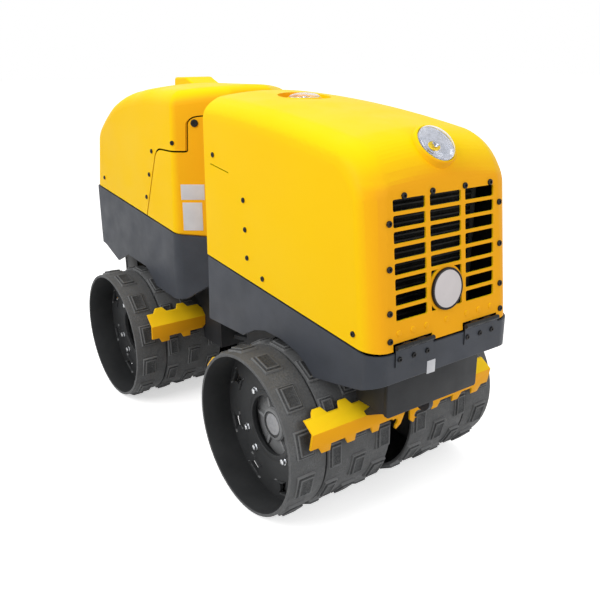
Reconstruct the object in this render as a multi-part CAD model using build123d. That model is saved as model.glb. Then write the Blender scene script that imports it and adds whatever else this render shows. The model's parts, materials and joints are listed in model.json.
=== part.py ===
from build123d import *
from math import atan, atan2, cos, degrees, radians, sin, sqrt, tan
import os

# Articulated walk-behind trench roller, in millimetres.
# +X points to the grille end, +Y across the machine, +Z up, and the floor is z = 0.

# Drums and their axles
wheelbase = 1008.0
lug_tip_radius = 260.0
lug_height = 11.0
lugs_around = 12
lug_arc_deg = 17.0
lug_draft_deg = 8.0
rim_wall = 10.0
drum_gap_half = 45.0
inner_drum_end = 282.0
ring_gap = 6.0
ring_end = 410.0
ring_disc_y = 300.0
disc_thickness = 10.0
disc_hole_radius = 95.0
spacer_inner_radius = 112.0
spacer_outer_radius = 150.0
kidney_count = 8
kidney_radius = 200.0
kidney_width = 34.0
kidney_arc_deg = 20.0
hub_radius = 70.0
hub_boss_radius = 52.0
shaft_radius = 34.0
running_clearance = 0.05

# Lug rows on one side: start and end along the axle, first lug's angle in degrees
inner_lug_rows = [(48.0, 104.0, 0.0), (141.0, 193.0, 15.0), (234.0, 280.0, 0.0)]
ring_lug_rows = [(328.0, 387.0, 15.0)]

# Both frame halves
skirt_foot_z = 470.0
foot_half_width = 275.0
side_draft_deg = 2.0
end_x = 915.0
tub_wall = 8.0
hood_wall = 5.0
end_corner_radius = 60.0
shoulder_radius = 60.0
seam_z_at_pivot = 709.0
seam_fall = 0.112
seam_gap = 6.0
floor_thickness = 6.0
front_floor_z = 535.0
rear_floor_z = 562.0
hood_setback = 4.0

# Front half's side outline
front_half_rear_x = 85.0
front_top_z = 1220.0
front_top_mid_x = 400.0
front_top_mid_drop = 24.0
front_top_end_x = 735.0
front_top_end_drop = 73.0
front_corner_radius = 165.0
front_face_slope = 0.098

# Rear half's plan and side outline
nose_half_width = 96.0
fold_x = -147.0
fold_radius = 62.0
rear_top_z = 1235.0
rear_top_bend_x = -350.0
rear_top_radius = 800.0
rear_corner_radius = 90.0
rear_face_slope = 0.17
rear_shoulder_radius = 50.0

# Skirt's lower edge, rows of (x, z) from the centre joint outwards
front_skirt_edge = [
    (80.0, 476.0), (304.0, 482.0), (372.0, 519.0), (429.0, 535.0), (513.0, 535.0), (593.0, 521.0),
    (636.0, 501.0), (677.0, 473.0), (789.0, 492.0), (869.0, 508.0), (925.0, 524.0),
]
rear_skirt_edge = [
    (10.0, 574.0), (-40.0, 566.0), (-128.0, 484.0), (-175.0, 478.0), (-330.0, 488.0), (-420.0, 545.0),
    (-598.0, 556.0), (-706.0, 508.0), (-840.0, 553.0), (-925.0, 564.0),
]

# Upper edge of the fixed cowl over the pivot, rows of (x, z, corner radius)
cowl_step_edge = [(-286.0, 1012.0, 50.0), (-121.0, 1012.0, 8.0), (-121.0, 1136.0, 26.0)]
cowl_foot_x = -389.0
cowl_lip_thickness = 4.0
cowl_lip_depth = 22.0
cowl_lip_rise = 16.0

# Grille in the front hood, heights measured up the sloping face from the hinge pin
grille_half_width = 192.0
grille_low = 61.0
grille_high = 379.0
grille_corner = 18.0
slot_rows = 8
slot_pitch = 39.3
slot_height = 24.0
first_slot_low = 68.5
slot_corner = 5.0
top_slot_corner = 18.0
slot_columns = [(-185.0, -75.0), (-58.0, 56.0), (73.0, 185.0)]
badge_rows = 3
badge_radius = 57.0
badge_thickness = 8.0
badge_centre_up = 119.5

# Lamps
lens_radius = 50.0
lens_rise = 20.0
lamp_ring_width = 13.0
lamp_ring_height = 14.0
lamp_seat = 4.0
front_lamp_angle_deg = 45.0
top_lamp_x = 270.0
top_recess_radius = 84.0
top_recess_depth = 12.0
rear_lamp_x = -800.0

# Hood hinges
pin_ahead = 5.0
pin_above_seam = 14.5
knuckle_radius = 6.5
hinge_pin_radius = 3.5
hinge_inner_y = 62.0
hinge_outer_y = 196.0
knuckle_count = 5
knuckle_gap = 0.5
leaf_thickness = 4.0
leaf_drop = 46.0
leaf_rise = 24.0
leaf_clear = 2.0

# Centre joint: oscillation about X, steering about Z
swing_axis_z = 360.0
spindle_radius = 30.0
bearing_radius = 54.0
bearing_length = 100.0
spindle_nut_radius = 44.0
spindle_nut_length = 12.0
cross_plate_x = 93.0
plate_thickness = 12.0
carrier_foot_z = 270.0
gusset_y = 120.0
gusset_foot_x = 240.0
gusset_top_x = 330.0
drum_running_gap = 14.0
ear_radius = 40.0
ear_root_half_width = 75.0
ear_thickness = 16.0
ear_gap = 5.0
yoke_eye_radius = 38.0
yoke_half_height = 45.0
yoke_plate_x = 46.0
yoke_plate_thickness = 16.0
yoke_plate_half_width = 62.0
yoke_plate_half_height = 70.0
steer_pin_radius = 22.0
steer_pin_head_radius = 28.0
steer_pin_head = 10.0
seat_gap = 0.3

# Lifting mast
mast_half_thickness = 10.0
lift_eye_x = 46.0
lift_eye_z = 1183.0
lift_eye_radius = 32.0
lift_bore_radius = 16.0
mast_foot_width = 32.0
mast_top_width = 40.0

# Steering cylinder
cylinder_y = 85.0
barrel_radius = 25.0
barrel_start_x = -225.0
barrel_end_x = -70.0
barrel_cap = 8.0
rod_radius = 14.0
rod_inner_x = -165.0
rod_eye_x = 25.0
rod_eye_radius = 18.0
rod_eye_thickness = 32.0
rod_pin_radius = 12.0
rod_pin_head = 5.0
lug_to_eye_gap = 2.0
cylinder_lug_thickness = 14.0

# Gearcases on the axles
gearcase_half_width = 30.0
gearcase_radius = 105.0
gearcase_flange_half = 150.0
gearcase_flange_thickness = 14.0

# Scrapers: bent plate ahead of a drum, rows of (distance from axle, height)
scraper_section = [(253.0, 454.0), (299.0, 383.0), (267.0, 324.0)]
scraper_thickness = 8.0
scraper_outer_span = (18.0, 386.0)
scraper_tab_width = 30.0
scraper_tab_pitch = 60.0
scraper_tab_depth = 18.0
scraper_arm_y = 104.0

# Belly aprons with lashing eyes
apron_x = 862.0
apron_foot_z = 400.0
apron_top_half = 190.0
apron_foot_half = 125.0
lash_eye_x = 838.0
lash_eye_z = 385.0
lash_eye_radius = 30.0
lash_bore_radius = 14.0
lash_half_thickness = 8.0

# Blocks for what is closed inside: x start, x end, half width, top
engine_block_size = (205.0, 600.0, 160.0, 950.0)
radiator_size = (765.0, 825.0, 185.0, 985.0)
tank_size = (-640.0, -180.0, 170.0, 1000.0)

# Raised vent on the rear hood
vent_x = (-625.0, -412.0)
vent_top_x = (-618.0, -452.0)
vent_y = (0.0, 120.0)
vent_top_z = 1262.0

rim_radius = lug_tip_radius - lug_height
rim_bore = rim_radius - rim_wall
ring_start = inner_drum_end + ring_gap
axle_x = wheelbase / 2.0
half_lug = radians(lug_arc_deg / 2.0)
lug_pitch_deg = 360.0 / lugs_around
# The machine stands on the lug edges nearest the bottom, half a pitch either side of it.
axle_z = lug_tip_radius * cos(radians(lug_pitch_deg / 2.0) - half_lug)
hood_end_x = end_x - hood_setback
pin_x = end_x + pin_ahead
bearing_start_x = cross_plate_x + plate_thickness
bearing_end_x = bearing_start_x + bearing_length
draft = tan(radians(side_draft_deg))
reach_y = 500.0
reach_x = 1300.0
sky_z = 1500.0
parts = {}


def seam_z(x):
    return seam_z_at_pivot - seam_fall * x


def pin_z(sign):
    return seam_z(sign * end_x) + pin_above_seam


def mirrored(solid):
    return mirror(solid, about=Plane.XZ)


# Closed face from rows of (a, b, corner radius).
def outline(rows):
    points = [(a, b) for a, b, r in rows]
    radii = [r for a, b, r in rows]
    if any(radii):
        return make_face(FilletPolyline(*points, radius=radii, close=True))
    return make_face(Polyline(*points, close=True))


def sharp(*points):
    return outline([(a, b, 0.0) for a, b in points])


# Side outlines are (x, z), end outlines (y, z) and plans (x, y).
def from_side(face, y_low, y_high):
    plane = Plane(origin=(0, y_high, 0), x_dir=(1, 0, 0), z_dir=(0, -1, 0))
    return extrude(plane * face, y_high - y_low)


def from_end(face, x_low, x_high):
    plane = Plane(origin=(x_low, 0, 0), x_dir=(0, 1, 0), z_dir=(1, 0, 0))
    return extrude(plane * face, x_high - x_low)


def from_plan(face, z_low, z_high, taper=0.0):
    return extrude(Plane.XY.offset(z_low) * face, z_high - z_low, taper=taper)


def block(x_low, x_high, y_low, y_high, z_low, z_high):
    centre = ((x_low + x_high) / 2.0, (y_low + y_high) / 2.0, (z_low + z_high) / 2.0)
    return Pos(*centre) * Box(x_high - x_low, y_high - y_low, z_high - z_low)


def rod_x(y, z, radius, x_low, x_high):
    return Pos((x_low + x_high) / 2.0, y, z) * Rot(0, 90, 0) * Cylinder(radius, x_high - x_low)


def rod_y(x, z, radius, y_low, y_high):
    return Pos(x, (y_low + y_high) / 2.0, z) * Rot(90, 0, 0) * Cylinder(radius, y_high - y_low)


def rod_z(x, y, radius, z_low, z_high):
    return Pos(x, y, (z_low + z_high) / 2.0) * Cylinder(radius, z_high - z_low)


def turned_on_axle(points):
    return revolve(make_face(Polyline(*points, close=True)), Axis.Y, 360)


# Everything over or under the seam between skirt and hood, shifted by half its gap.
def over_seam():
    shift = seam_gap / 2.0
    low, high = seam_z(-reach_x) + shift, seam_z(reach_x) + shift
    face = sharp((-reach_x, low), (reach_x, high), (reach_x, sky_z), (-reach_x, sky_z))
    return from_side(face, -reach_y, reach_y)


def under_seam():
    shift = seam_gap / 2.0
    low, high = seam_z(-reach_x) - shift, seam_z(reach_x) - shift
    face = sharp((-reach_x, 0.0), (reach_x, 0.0), (reach_x, high), (-reach_x, low))
    return from_side(face, -reach_y, reach_y)


# Lugs: flat-topped blocks across the rim, their edges on the tip circle.
def lug_block(y_low, y_high, angle_deg):
    half = lug_tip_radius * sin(half_lug)
    top = lug_tip_radius * cos(half_lug)
    foot = (rim_radius - rim_wall / 2.0) * cos(half_lug)
    spread = (top - foot) * tan(radians(lug_draft_deg))
    face = sharp((-half - spread, foot), (half + spread, foot), (half, top), (-half, top))
    return Rot(0, angle_deg, 0) * from_side(face, y_low, y_high)


def lugs(rows):
    return [
        lug_block(y_low, y_high, first_deg + index * lug_pitch_deg)
        for y_low, y_high, first_deg in rows
        for index in range(lugs_around)
    ]


def inner_drum():
    web_y = inner_drum_end - disc_thickness
    profile = [
        (shaft_radius, drum_gap_half), (hub_radius, drum_gap_half), (hub_radius, web_y),
        (rim_bore, web_y), (rim_bore, drum_gap_half), (rim_radius, drum_gap_half),
        (rim_radius, inner_drum_end), (hub_boss_radius, inner_drum_end),
        (hub_boss_radius, ring_disc_y), (shaft_radius, ring_disc_y),
    ]
    return turned_on_axle(profile) + lugs(inner_lug_rows)


def outer_ring():
    disc_back = ring_disc_y + disc_thickness
    profile = [
        (spacer_inner_radius, inner_drum_end), (spacer_outer_radius, inner_drum_end),
        (spacer_outer_radius, ring_disc_y), (rim_bore, ring_disc_y), (rim_bore, ring_start),
        (rim_radius, ring_start), (rim_radius, ring_end), (rim_bore, ring_end),
        (rim_bore, disc_back), (disc_hole_radius, disc_back), (disc_hole_radius, ring_disc_y),
        (spacer_inner_radius, ring_disc_y),
    ]
    ring = turned_on_axle(profile)
    slot_line = CenterArc((0, 0), kidney_radius, -kidney_arc_deg / 2.0, kidney_arc_deg)
    slot = from_side(SlotArc(slot_line, kidney_width), ring_start, disc_back + ring_gap)
    for index in range(kidney_count):
        ring = ring - Rot(0, index * 360.0 / kidney_count, 0) * slot
    return ring + lugs(ring_lug_rows)


def make_axles():
    drum, ring = inner_drum(), outer_ring()
    for end, sign in (("front", 1.0), ("rear", -1.0)):
        centre = Pos(sign * axle_x, 0, axle_z)
        shaft = rod_y(sign * axle_x, axle_z, shaft_radius, -ring_disc_y, ring_disc_y)
        parts[end + "_axle_shaft"] = shaft
        parts[end + "_drum_left"] = centre * drum
        parts[end + "_drum_right"] = centre * mirrored(drum)
        parts[end + "_ring_left"] = centre * ring
        parts[end + "_ring_right"] = centre * mirrored(ring)


# Draughted bodywork of each half, unlimited in length, set in by a wall.
def front_bodywork(inset):
    y = foot_half_width - inset
    plan = sharp((0.0, -y), (reach_x, -y), (reach_x, y), (0.0, y))
    return from_plan(plan, skirt_foot_z, sky_z, taper=side_draft_deg)


def rear_bodywork(inset):
    y = foot_half_width - inset
    turn = atan2(half_width_at_fold() - nose_half_width, -fold_x)
    fold_at = fold_x - inset * tan(turn / 2.0)
    nose_y = y - (-inset - fold_at) * tan(turn)
    r = fold_radius - inset
    plan = outline([
        (-inset, -nose_y, r), (-inset, nose_y, r), (fold_at, y, r), (-reach_x, y, 0.0),
        (-reach_x, -y, 0.0), (fold_at, -y, r),
    ])
    return from_plan(plan, skirt_foot_z, sky_z, taper=side_draft_deg)


def half_width_at_fold():
    return foot_half_width


# Skirts stand upright at the ends, with rounded corners.
def end_limit(sign, inset):
    r = end_corner_radius - inset
    y = foot_half_width - inset + 1.0
    x_near = front_half_rear_x + inset if sign > 0 else 10.0
    x_far = end_x - inset
    face = outline([
        (sign * x_near, -y, 0.0), (sign * x_far, -y, r), (sign * x_far, y, r), (sign * x_near, y, 0.0),
    ])
    return from_plan(face, skirt_foot_z - 10.0, sky_z)


def tub_space(sign, inset):
    if sign > 0:
        return front_bodywork(inset) & end_limit(1.0, inset)
    return rear_bodywork(inset) & end_limit_rear(inset)


def end_limit_rear(inset):
    r = end_corner_radius - inset
    y = foot_half_width - inset
    x_far = -(end_x - inset)
    face = outline([(100.0, -y, 0.0), (x_far, -y, r), (x_far, y, r), (100.0, y, 0.0)])
    return from_plan(face, skirt_foot_z - 10.0, sky_z)


def tub(sign, edge):
    walls = tub_space(sign, 0.0) - tub_space(sign, tub_wall)
    end_skirt_z = edge[0][1]
    cut = sharp(*edge, (edge[-1][0], skirt_foot_z - 50.0), (edge[0][0], skirt_foot_z - 50.0))
    return (walls & under_seam()) - from_side(cut, -reach_y, reach_y)


# Floor plate inside the skirt, with the narrow apron below its end and a lashing eye.
def belly_pan(sign, floor_z):
    slab = block(-reach_x, reach_x, -reach_y, reach_y, floor_z, floor_z + floor_thickness)
    pan = tub_space(sign, tub_wall) & slab
    face = sharp((-apron_foot_half, apron_foot_z), (apron_foot_half, apron_foot_z),
                 (apron_top_half, floor_z), (-apron_top_half, floor_z))
    apron = from_end(face, apron_x, apron_x + floor_thickness)
    eye_arm = sharp((apron_x, lash_eye_z + 90.0), (apron_x, lash_eye_z - 8.0),
                    (lash_eye_x, lash_eye_z - lash_eye_radius), (lash_eye_x, lash_eye_z + lash_eye_radius))
    eye = from_side(eye_arm, -lash_half_thickness, lash_half_thickness)
    eye += rod_y(lash_eye_x, lash_eye_z, lash_eye_radius, -lash_half_thickness, lash_half_thickness)
    eye -= rod_y(lash_eye_x, lash_eye_z, lash_bore_radius, -reach_y, reach_y)
    hanging = apron + eye
    if sign < 0:
        hanging = mirror(hanging, about=Plane.YZ)
    return pan + hanging


def front_profile(inset, low):
    rear = front_half_rear_x + inset
    mid = (front_top_mid_x, front_top_z - front_top_mid_drop - inset)
    end = (front_top_end_x, front_top_z - front_top_end_drop - inset)
    top = ThreePointArc((rear, front_top_z - inset), mid, end)
    fall = (top % 1).Y / (top % 1).X
    face_x = hood_end_x - inset
    corner_x = (face_x - (end[1] - end[0] * fall - pin_z(1)) * front_face_slope) \
        / (1.0 + fall * front_face_slope)
    corner = (corner_x, end[1] + (corner_x - end[0]) * fall)
    foot = (face_x - (low - pin_z(1)) * front_face_slope, low)
    rest = Polyline(end, corner, foot, (rear, low), (rear, front_top_z - inset))
    face = make_face(top + rest)
    vertex = face.vertices().sort_by_distance((*corner, 0.0))[0]
    return fillet(vertex, front_corner_radius - inset)


def rear_profile(inset, low):
    face_x = -(hood_end_x - inset)
    top_z = rear_top_z - inset
    radius = rear_top_radius - inset

    def on_arc(x):
        return (x, top_z - radius + sqrt(radius ** 2 - (x - rear_top_bend_x) ** 2))

    # The top arc meets the end face's line: found by halving.
    near, far = rear_top_bend_x, face_x
    for _ in range(40):
        middle = (near + far) / 2.0
        if middle > face_x + (on_arc(middle)[1] - pin_z(-1)) * rear_face_slope:
            near = middle
        else:
            far = middle
    corner = on_arc(near)
    top = ThreePointArc((rear_top_bend_x, top_z), on_arc((rear_top_bend_x + near) / 2.0), corner)
    foot = (face_x + (low - pin_z(-1)) * rear_face_slope, low)
    rest = Polyline(corner, foot, (-inset, low), (-inset, top_z), (rear_top_bend_x, top_z))
    face = make_face(top + rest)
    vertex = face.vertices().sort_by_distance((*corner, 0.0))[0]
    return fillet(vertex, rear_corner_radius - inset)


# Hood forms: bodywork cut to the side outline, then rounded along top and end.
def front_form(inset):
    solid = front_bodywork(inset) & from_side(front_profile(inset, skirt_foot_z), -reach_y, reach_y)
    chain = []
    for edge in solid.edges():
        middle = edge @ 0.5
        if abs(middle.Y) > 100.0 and middle.Z > skirt_foot_z + 2.0 and middle.X > front_half_rear_x + inset + 2.0:
            chain.append(edge)
    return fillet(chain, shoulder_radius - inset)


def rear_form(inset):
    solid = rear_bodywork(inset) & from_side(rear_profile(inset, skirt_foot_z), -reach_y, reach_y)
    chain = []
    for edge in solid.edges():
        middle = edge @ 0.5
        size = edge.bounding_box().size
        upright = size.Z > 100.0 and size.X < 60.0 and middle.X > rear_top_bend_x
        across = size.Y > 300.0 and middle.X < rear_top_bend_x + 1.0
        if middle.Z > skirt_foot_z + 2.0 and not upright and not across:
            chain.append(edge)
    return fillet(chain, rear_shoulder_radius - inset)


# A plane on a hood's end face at hinge height, its local y up the face.
def end_face_plane(sign):
    slope = front_face_slope if sign > 0 else rear_face_slope
    lean = atan(slope)
    return Plane(origin=(sign * hood_end_x, 0, pin_z(sign)), x_dir=(0, sign, 0),
                 z_dir=(sign * cos(lean), 0, sin(lean)))


def grille_outline():
    return outline([
        (-grille_half_width, grille_low, grille_corner), (grille_half_width, grille_low, grille_corner),
        (grille_half_width, grille_high, grille_corner), (-grille_half_width, grille_high, grille_corner),
    ])


def front_hood(outer, inner):
    recess_floor = top_z_at(top_lamp_x) - top_recess_depth
    inner = inner - rod_z(top_lamp_x, 0.0, top_recess_radius + hood_wall, recess_floor - hood_wall, sky_z)
    hood = (outer - inner) & over_seam()
    hood = hood - rod_z(top_lamp_x, 0.0, top_recess_radius, recess_floor, sky_z)
    window = extrude(end_face_plane(1) * grille_outline(), 20.0, both=True)
    return hood - window


def top_z_at(x):
    hit = front_profile(0.0, skirt_foot_z).edges().filter_by(GeomType.CIRCLE)
    top_arc = hit.sort_by(lambda edge: edge.radius)[-1]
    centre, radius = top_arc.arc_center, top_arc.radius
    return centre.Y + sqrt(radius ** 2 - (x - centre.X) ** 2)


def grille():
    plane = end_face_plane(1)
    plate = extrude(plane * grille_outline(), -hood_wall)
    for column, (left, right) in enumerate(slot_columns):
        for row in range(slot_rows):
            if column == 1 and row < badge_rows:
                continue
            low = first_slot_low + row * slot_pitch
            high = low + slot_height
            top_left = top_slot_corner if column == 0 and row == slot_rows - 1 else slot_corner
            slot = outline([
                (left, low, slot_corner), (right, low, slot_corner),
                (right, high, slot_corner), (left, high, top_left),
            ])
            plate = plate - extrude(plane * slot, 20.0, both=True)
    return plate


def grille_badge():
    plane = end_face_plane(1)
    disc = plane * (Pos(0, badge_centre_up) * Circle(badge_radius))
    return extrude(disc, badge_thickness)


# Lamp: a ring cut to the hood's surface and a domed lens in it.
def lamp(x, z, angle_deg, body):
    plane = Plane(origin=(x, 0, z), x_dir=(0, 1, 0), z_dir=(cos(radians(angle_deg)), 0, sin(radians(angle_deg))))
    ring_radius = lens_radius + lamp_ring_width
    depth = lens_radius
    section = Polyline(
        (0.0, -depth), (ring_radius, -depth), (ring_radius, lamp_ring_height - 4.0),
        (ring_radius - 4.0, lamp_ring_height), (lens_radius, lamp_ring_height), (lens_radius, lamp_seat),
        (0.0, lamp_seat), close=True)
    ring = revolve(Plane.XZ * make_face(section), Axis.Z, 360)
    edge_z = lamp_ring_height - 2.0
    dome = ThreePointArc((0.0, edge_z + lens_rise), (lens_radius * 0.6, edge_z + lens_rise * 0.68),
                         (lens_radius, edge_z))
    base = Polyline((lens_radius, edge_z), (lens_radius, lamp_seat), (0.0, lamp_seat), (0.0, edge_z + lens_rise))
    lens = revolve(Plane.XZ * make_face(dome + base), Axis.Z, 360)
    return plane.location * ring - body, plane.location * lens


def rear_cowl_region(gap):
    foot_z = seam_z(cowl_foot_x) - 60.0
    first = cowl_step_edge[0]
    lean = (first[0] - cowl_foot_x) / (first[1] - seam_z(cowl_foot_x))
    start_x = first[0] - (first[1] - foot_z) * lean
    rows = [(start_x, foot_z, 0.0), *cowl_step_edge, (200.0, cowl_step_edge[-1][1], 0.0), (200.0, foot_z, 0.0)]
    face = outline(rows)
    if gap:
        face = offset(face, gap)
    return from_side(face, -reach_y, reach_y)


# Joggled lip that seats the fixed cowl inside the skirt's wall.
def cowl_lip():
    def band(low, high):
        start, end = cowl_foot_x + cowl_lip_rise, reach_y
        face = sharp((start, seam_z(start) + low), (end, seam_z(end) + low),
                     (end, seam_z(end) + high), (start, seam_z(start) + high))
        return from_side(face, -reach_y, reach_y)

    lip_inset = tub_wall + cowl_lip_thickness
    tongue = (rear_bodywork(tub_wall) - rear_bodywork(lip_inset)) & band(-cowl_lip_depth, cowl_lip_rise)
    root = (rear_bodywork(hood_wall) - rear_bodywork(lip_inset)) & band(seam_gap / 2.0, cowl_lip_rise)
    return tongue + root


def vent_cowl(body):
    face = sharp((vent_x[0], rear_top_z - 60.0), (vent_x[1], rear_top_z - 60.0), (vent_x[1], rear_top_z - 10.0),
                 (vent_top_x[1], vent_top_z), (vent_top_x[0], vent_top_z - 4.0))
    return from_side(face, *vent_y) - body


# Hinge leaves: plate and knuckles on the skirt, plate and knuckles on the hood, one pin.
def hinge_leaves(sign):
    slope = front_face_slope if sign > 0 else rear_face_slope
    lean = atan(slope)
    pin = (sign * pin_x, pin_z(sign))
    origin = (sign * hood_end_x, pin_z(sign))

    def on_face(out, up):
        return (origin[0] + sign * (out * cos(lean) - up * sin(lean)), origin[1] + out * sin(lean) + up * cos(lean))

    leaf_high = pin[1] - knuckle_radius - leaf_clear
    skirt_plate = sharp((sign * end_x, leaf_high - leaf_drop), (sign * (end_x + leaf_thickness), leaf_high - leaf_drop),
                        (sign * (end_x + leaf_thickness), leaf_high), (sign * end_x, leaf_high))
    skirt_tab = sharp((sign * end_x, leaf_high), (sign * (end_x + leaf_thickness), leaf_high),
                      (sign * (end_x + leaf_thickness), pin[1]), (sign * end_x, pin[1]))
    plate_low = knuckle_radius + leaf_clear
    hood_plate = sharp(on_face(0, plate_low), on_face(leaf_thickness, plate_low),
                       on_face(leaf_thickness, plate_low + leaf_rise), on_face(0, plate_low + leaf_rise))
    hood_tab = sharp(on_face(leaf_clear, 0), on_face(pin_ahead + hood_setback, 0),
                     on_face(pin_ahead + hood_setback, knuckle_radius - 1.0), on_face(leaf_thickness, plate_low + 1.0),
                     on_face(0, plate_low + 1.0))
    skirt_leaves, hood_leaves = [], []
    length = (hinge_outer_y - hinge_inner_y - (knuckle_count - 1) * knuckle_gap) / knuckle_count
    for y_start in (-hinge_outer_y, hinge_inner_y):
        y_end = y_start + hinge_outer_y - hinge_inner_y
        skirt = from_side(skirt_plate, y_start, y_end)
        hood = from_side(hood_plate, y_start, y_end)
        for index in range(knuckle_count):
            low = y_start + index * (length + knuckle_gap)
            knuckle = rod_y(*pin, knuckle_radius, low, low + length)
            if index % 2 == 0:
                skirt += knuckle + from_side(skirt_tab, low, low + length)
            else:
                hood += knuckle + from_side(hood_tab, low, low + length)
        skirt += rod_y(*pin, hinge_pin_radius, y_start, y_end)
        hood -= rod_y(*pin, hinge_pin_radius + running_clearance, y_start - 1.0, y_end + 1.0)
        skirt_leaves.append(skirt)
        hood_leaves.append(hood)
    return skirt_leaves, hood_leaves


def make_front_half():
    outer, inner = front_form(0.0), front_form(hood_wall)
    parts["front_tub"] = tub(1, front_skirt_edge)
    parts["front_belly_pan"] = belly_pan(1, front_floor_z)
    parts["front_hood"] = front_hood(outer, inner)
    parts["front_grille"] = grille()
    parts["grille_badge"] = grille_badge()
    corner = front_profile(0.0, skirt_foot_z).edges().filter_by(GeomType.CIRCLE).sort_by(lambda e: e.radius)[0]
    turn = radians(front_lamp_angle_deg)
    x = corner.arc_center.X + front_corner_radius * cos(turn)
    z = corner.arc_center.Y + front_corner_radius * sin(turn)
    front_ring, front_lens = lamp(x, z, front_lamp_angle_deg, outer)
    recess_z = top_z_at(top_lamp_x) - top_recess_depth
    seat = block(0.0, reach_x, -reach_y, reach_y, 0.0, recess_z)
    top_ring, top_lens = lamp(top_lamp_x, recess_z, 90.0, seat)
    parts["front_lamp_rings"] = [front_ring, top_ring]
    parts["front_lamp_lenses"] = [front_lens, top_lens]
    parts["front_hinge_leaves"], parts["front_hood_hinge_leaves"] = hinge_leaves(1)
    start, end, half, top = engine_block_size
    floor = front_floor_z + floor_thickness
    parts["engine_block"] = block(start, end, -half, half, floor, top)
    start, end, half, top = radiator_size
    parts["radiator"] = block(start, end, -half, half, floor, top)


def make_rear_half():
    outer, inner = rear_form(0.0), rear_form(hood_wall)
    shell = (outer - inner) & over_seam()
    parts["rear_tub"] = tub(-1, rear_skirt_edge)
    parts["rear_belly_pan"] = belly_pan(-1, rear_floor_z)
    parts["rear_cowl"] = (shell & rear_cowl_region(0.0)) + cowl_lip()
    parts["rear_hood"] = shell - rear_cowl_region(seam_gap)
    parts["vent_cowl"] = vent_cowl(outer)
    run = rear_lamp_x - rear_top_bend_x
    z = rear_top_z - rear_top_radius + sqrt(rear_top_radius ** 2 - run ** 2)
    angle = degrees(atan2(sqrt(rear_top_radius ** 2 - run ** 2), run))
    ring, lens = lamp(rear_lamp_x, z, angle, outer)
    parts["rear_lamp_ring"], parts["rear_lamp_lens"] = ring, lens
    parts["rear_hinge_leaves"], parts["rear_hood_hinge_leaves"] = hinge_leaves(-1)
    start, end, half, top = tank_size
    parts["hydraulic_tank"] = block(start, end, -half, half, rear_floor_z + floor_thickness, top)


# Cross plate and two gussets that carry the joint, hung from the floor plate.
def carrier(floor_z):
    x_high = cross_plate_x + plate_thickness
    cross = block(cross_plate_x, x_high, -gusset_y - plate_thickness, gusset_y + plate_thickness,
                  carrier_foot_z, floor_z)
    face = sharp((x_high, carrier_foot_z), (gusset_foot_x, carrier_foot_z), (gusset_top_x, floor_z - 65.0),
                 (gusset_top_x, floor_z), (x_high, floor_z))
    gusset = from_side(face, gusset_y, gusset_y + plate_thickness)
    gusset -= rod_y(axle_x, axle_z, lug_tip_radius + drum_running_gap, -reach_y, reach_y)
    return cross + gusset + mirrored(gusset)


def gearcase(floor_z):
    low, high = -gearcase_half_width, gearcase_half_width
    case = rod_y(axle_x, axle_z, gearcase_radius, low, high)
    neck = sharp((axle_x - gearcase_radius, axle_z), (axle_x + gearcase_radius, axle_z),
                 (axle_x + gearcase_radius * 0.8, floor_z), (axle_x - gearcase_radius * 0.8, floor_z))
    case += from_side(neck, low, high)
    case += block(axle_x - gearcase_flange_half, axle_x + gearcase_flange_half, low, high,
                  floor_z - gearcase_flange_thickness, floor_z)
    return case - rod_y(axle_x, axle_z, shaft_radius + running_clearance, -reach_y, reach_y)


# Bent scraper plate with tabs along both edges; outward is away from the axle.
def scraper_plate(side, y_low, y_high):
    high, ridge, low = [(axle_x + side * a, z) for a, z in scraper_section]
    t = side * scraper_thickness
    face = sharp(high, ridge, low, (low[0] + t, low[1]), (ridge[0] + t, ridge[1]), (high[0] + t, high[1]))
    plate = from_side(face, y_low, y_high)
    notch_width = scraper_tab_pitch - scraper_tab_width
    y = y_low + scraper_tab_width
    while y + notch_width < y_high:
        for edge_z, direction in ((high[1], -1.0), (low[1], 1.0)):
            z_pair = sorted((edge_z - direction, edge_z + direction * scraper_tab_depth))
            plate -= block(axle_x - 400.0, axle_x + 400.0, y, y + notch_width, *z_pair)
        y += scraper_tab_pitch
    return plate


def outer_scraper():
    ridge_x = axle_x + scraper_section[1][0] + scraper_thickness
    ridge_z = scraper_section[1][1]
    arm_face = sharp((apron_x, ridge_z + 75.0), (apron_x, ridge_z + 20.0), (ridge_x, ridge_z),
                     (ridge_x - 8.0, ridge_z + 12.0))
    plate = scraper_plate(1, *scraper_outer_span)
    arm = from_side(arm_face, scraper_arm_y, scraper_arm_y + plate_thickness)
    return both_sides(plate + arm)


def inner_scraper():
    return both_sides(scraper_plate(-1, gusset_y + plate_thickness, scraper_outer_span[1]))


def both_sides(solid):
    return [solid, mirrored(solid)]


def to_rear(solids):
    if isinstance(solids, list):
        return [mirror(solid, about=Plane.YZ) for solid in solids]
    return mirror(solids, about=Plane.YZ)


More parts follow.
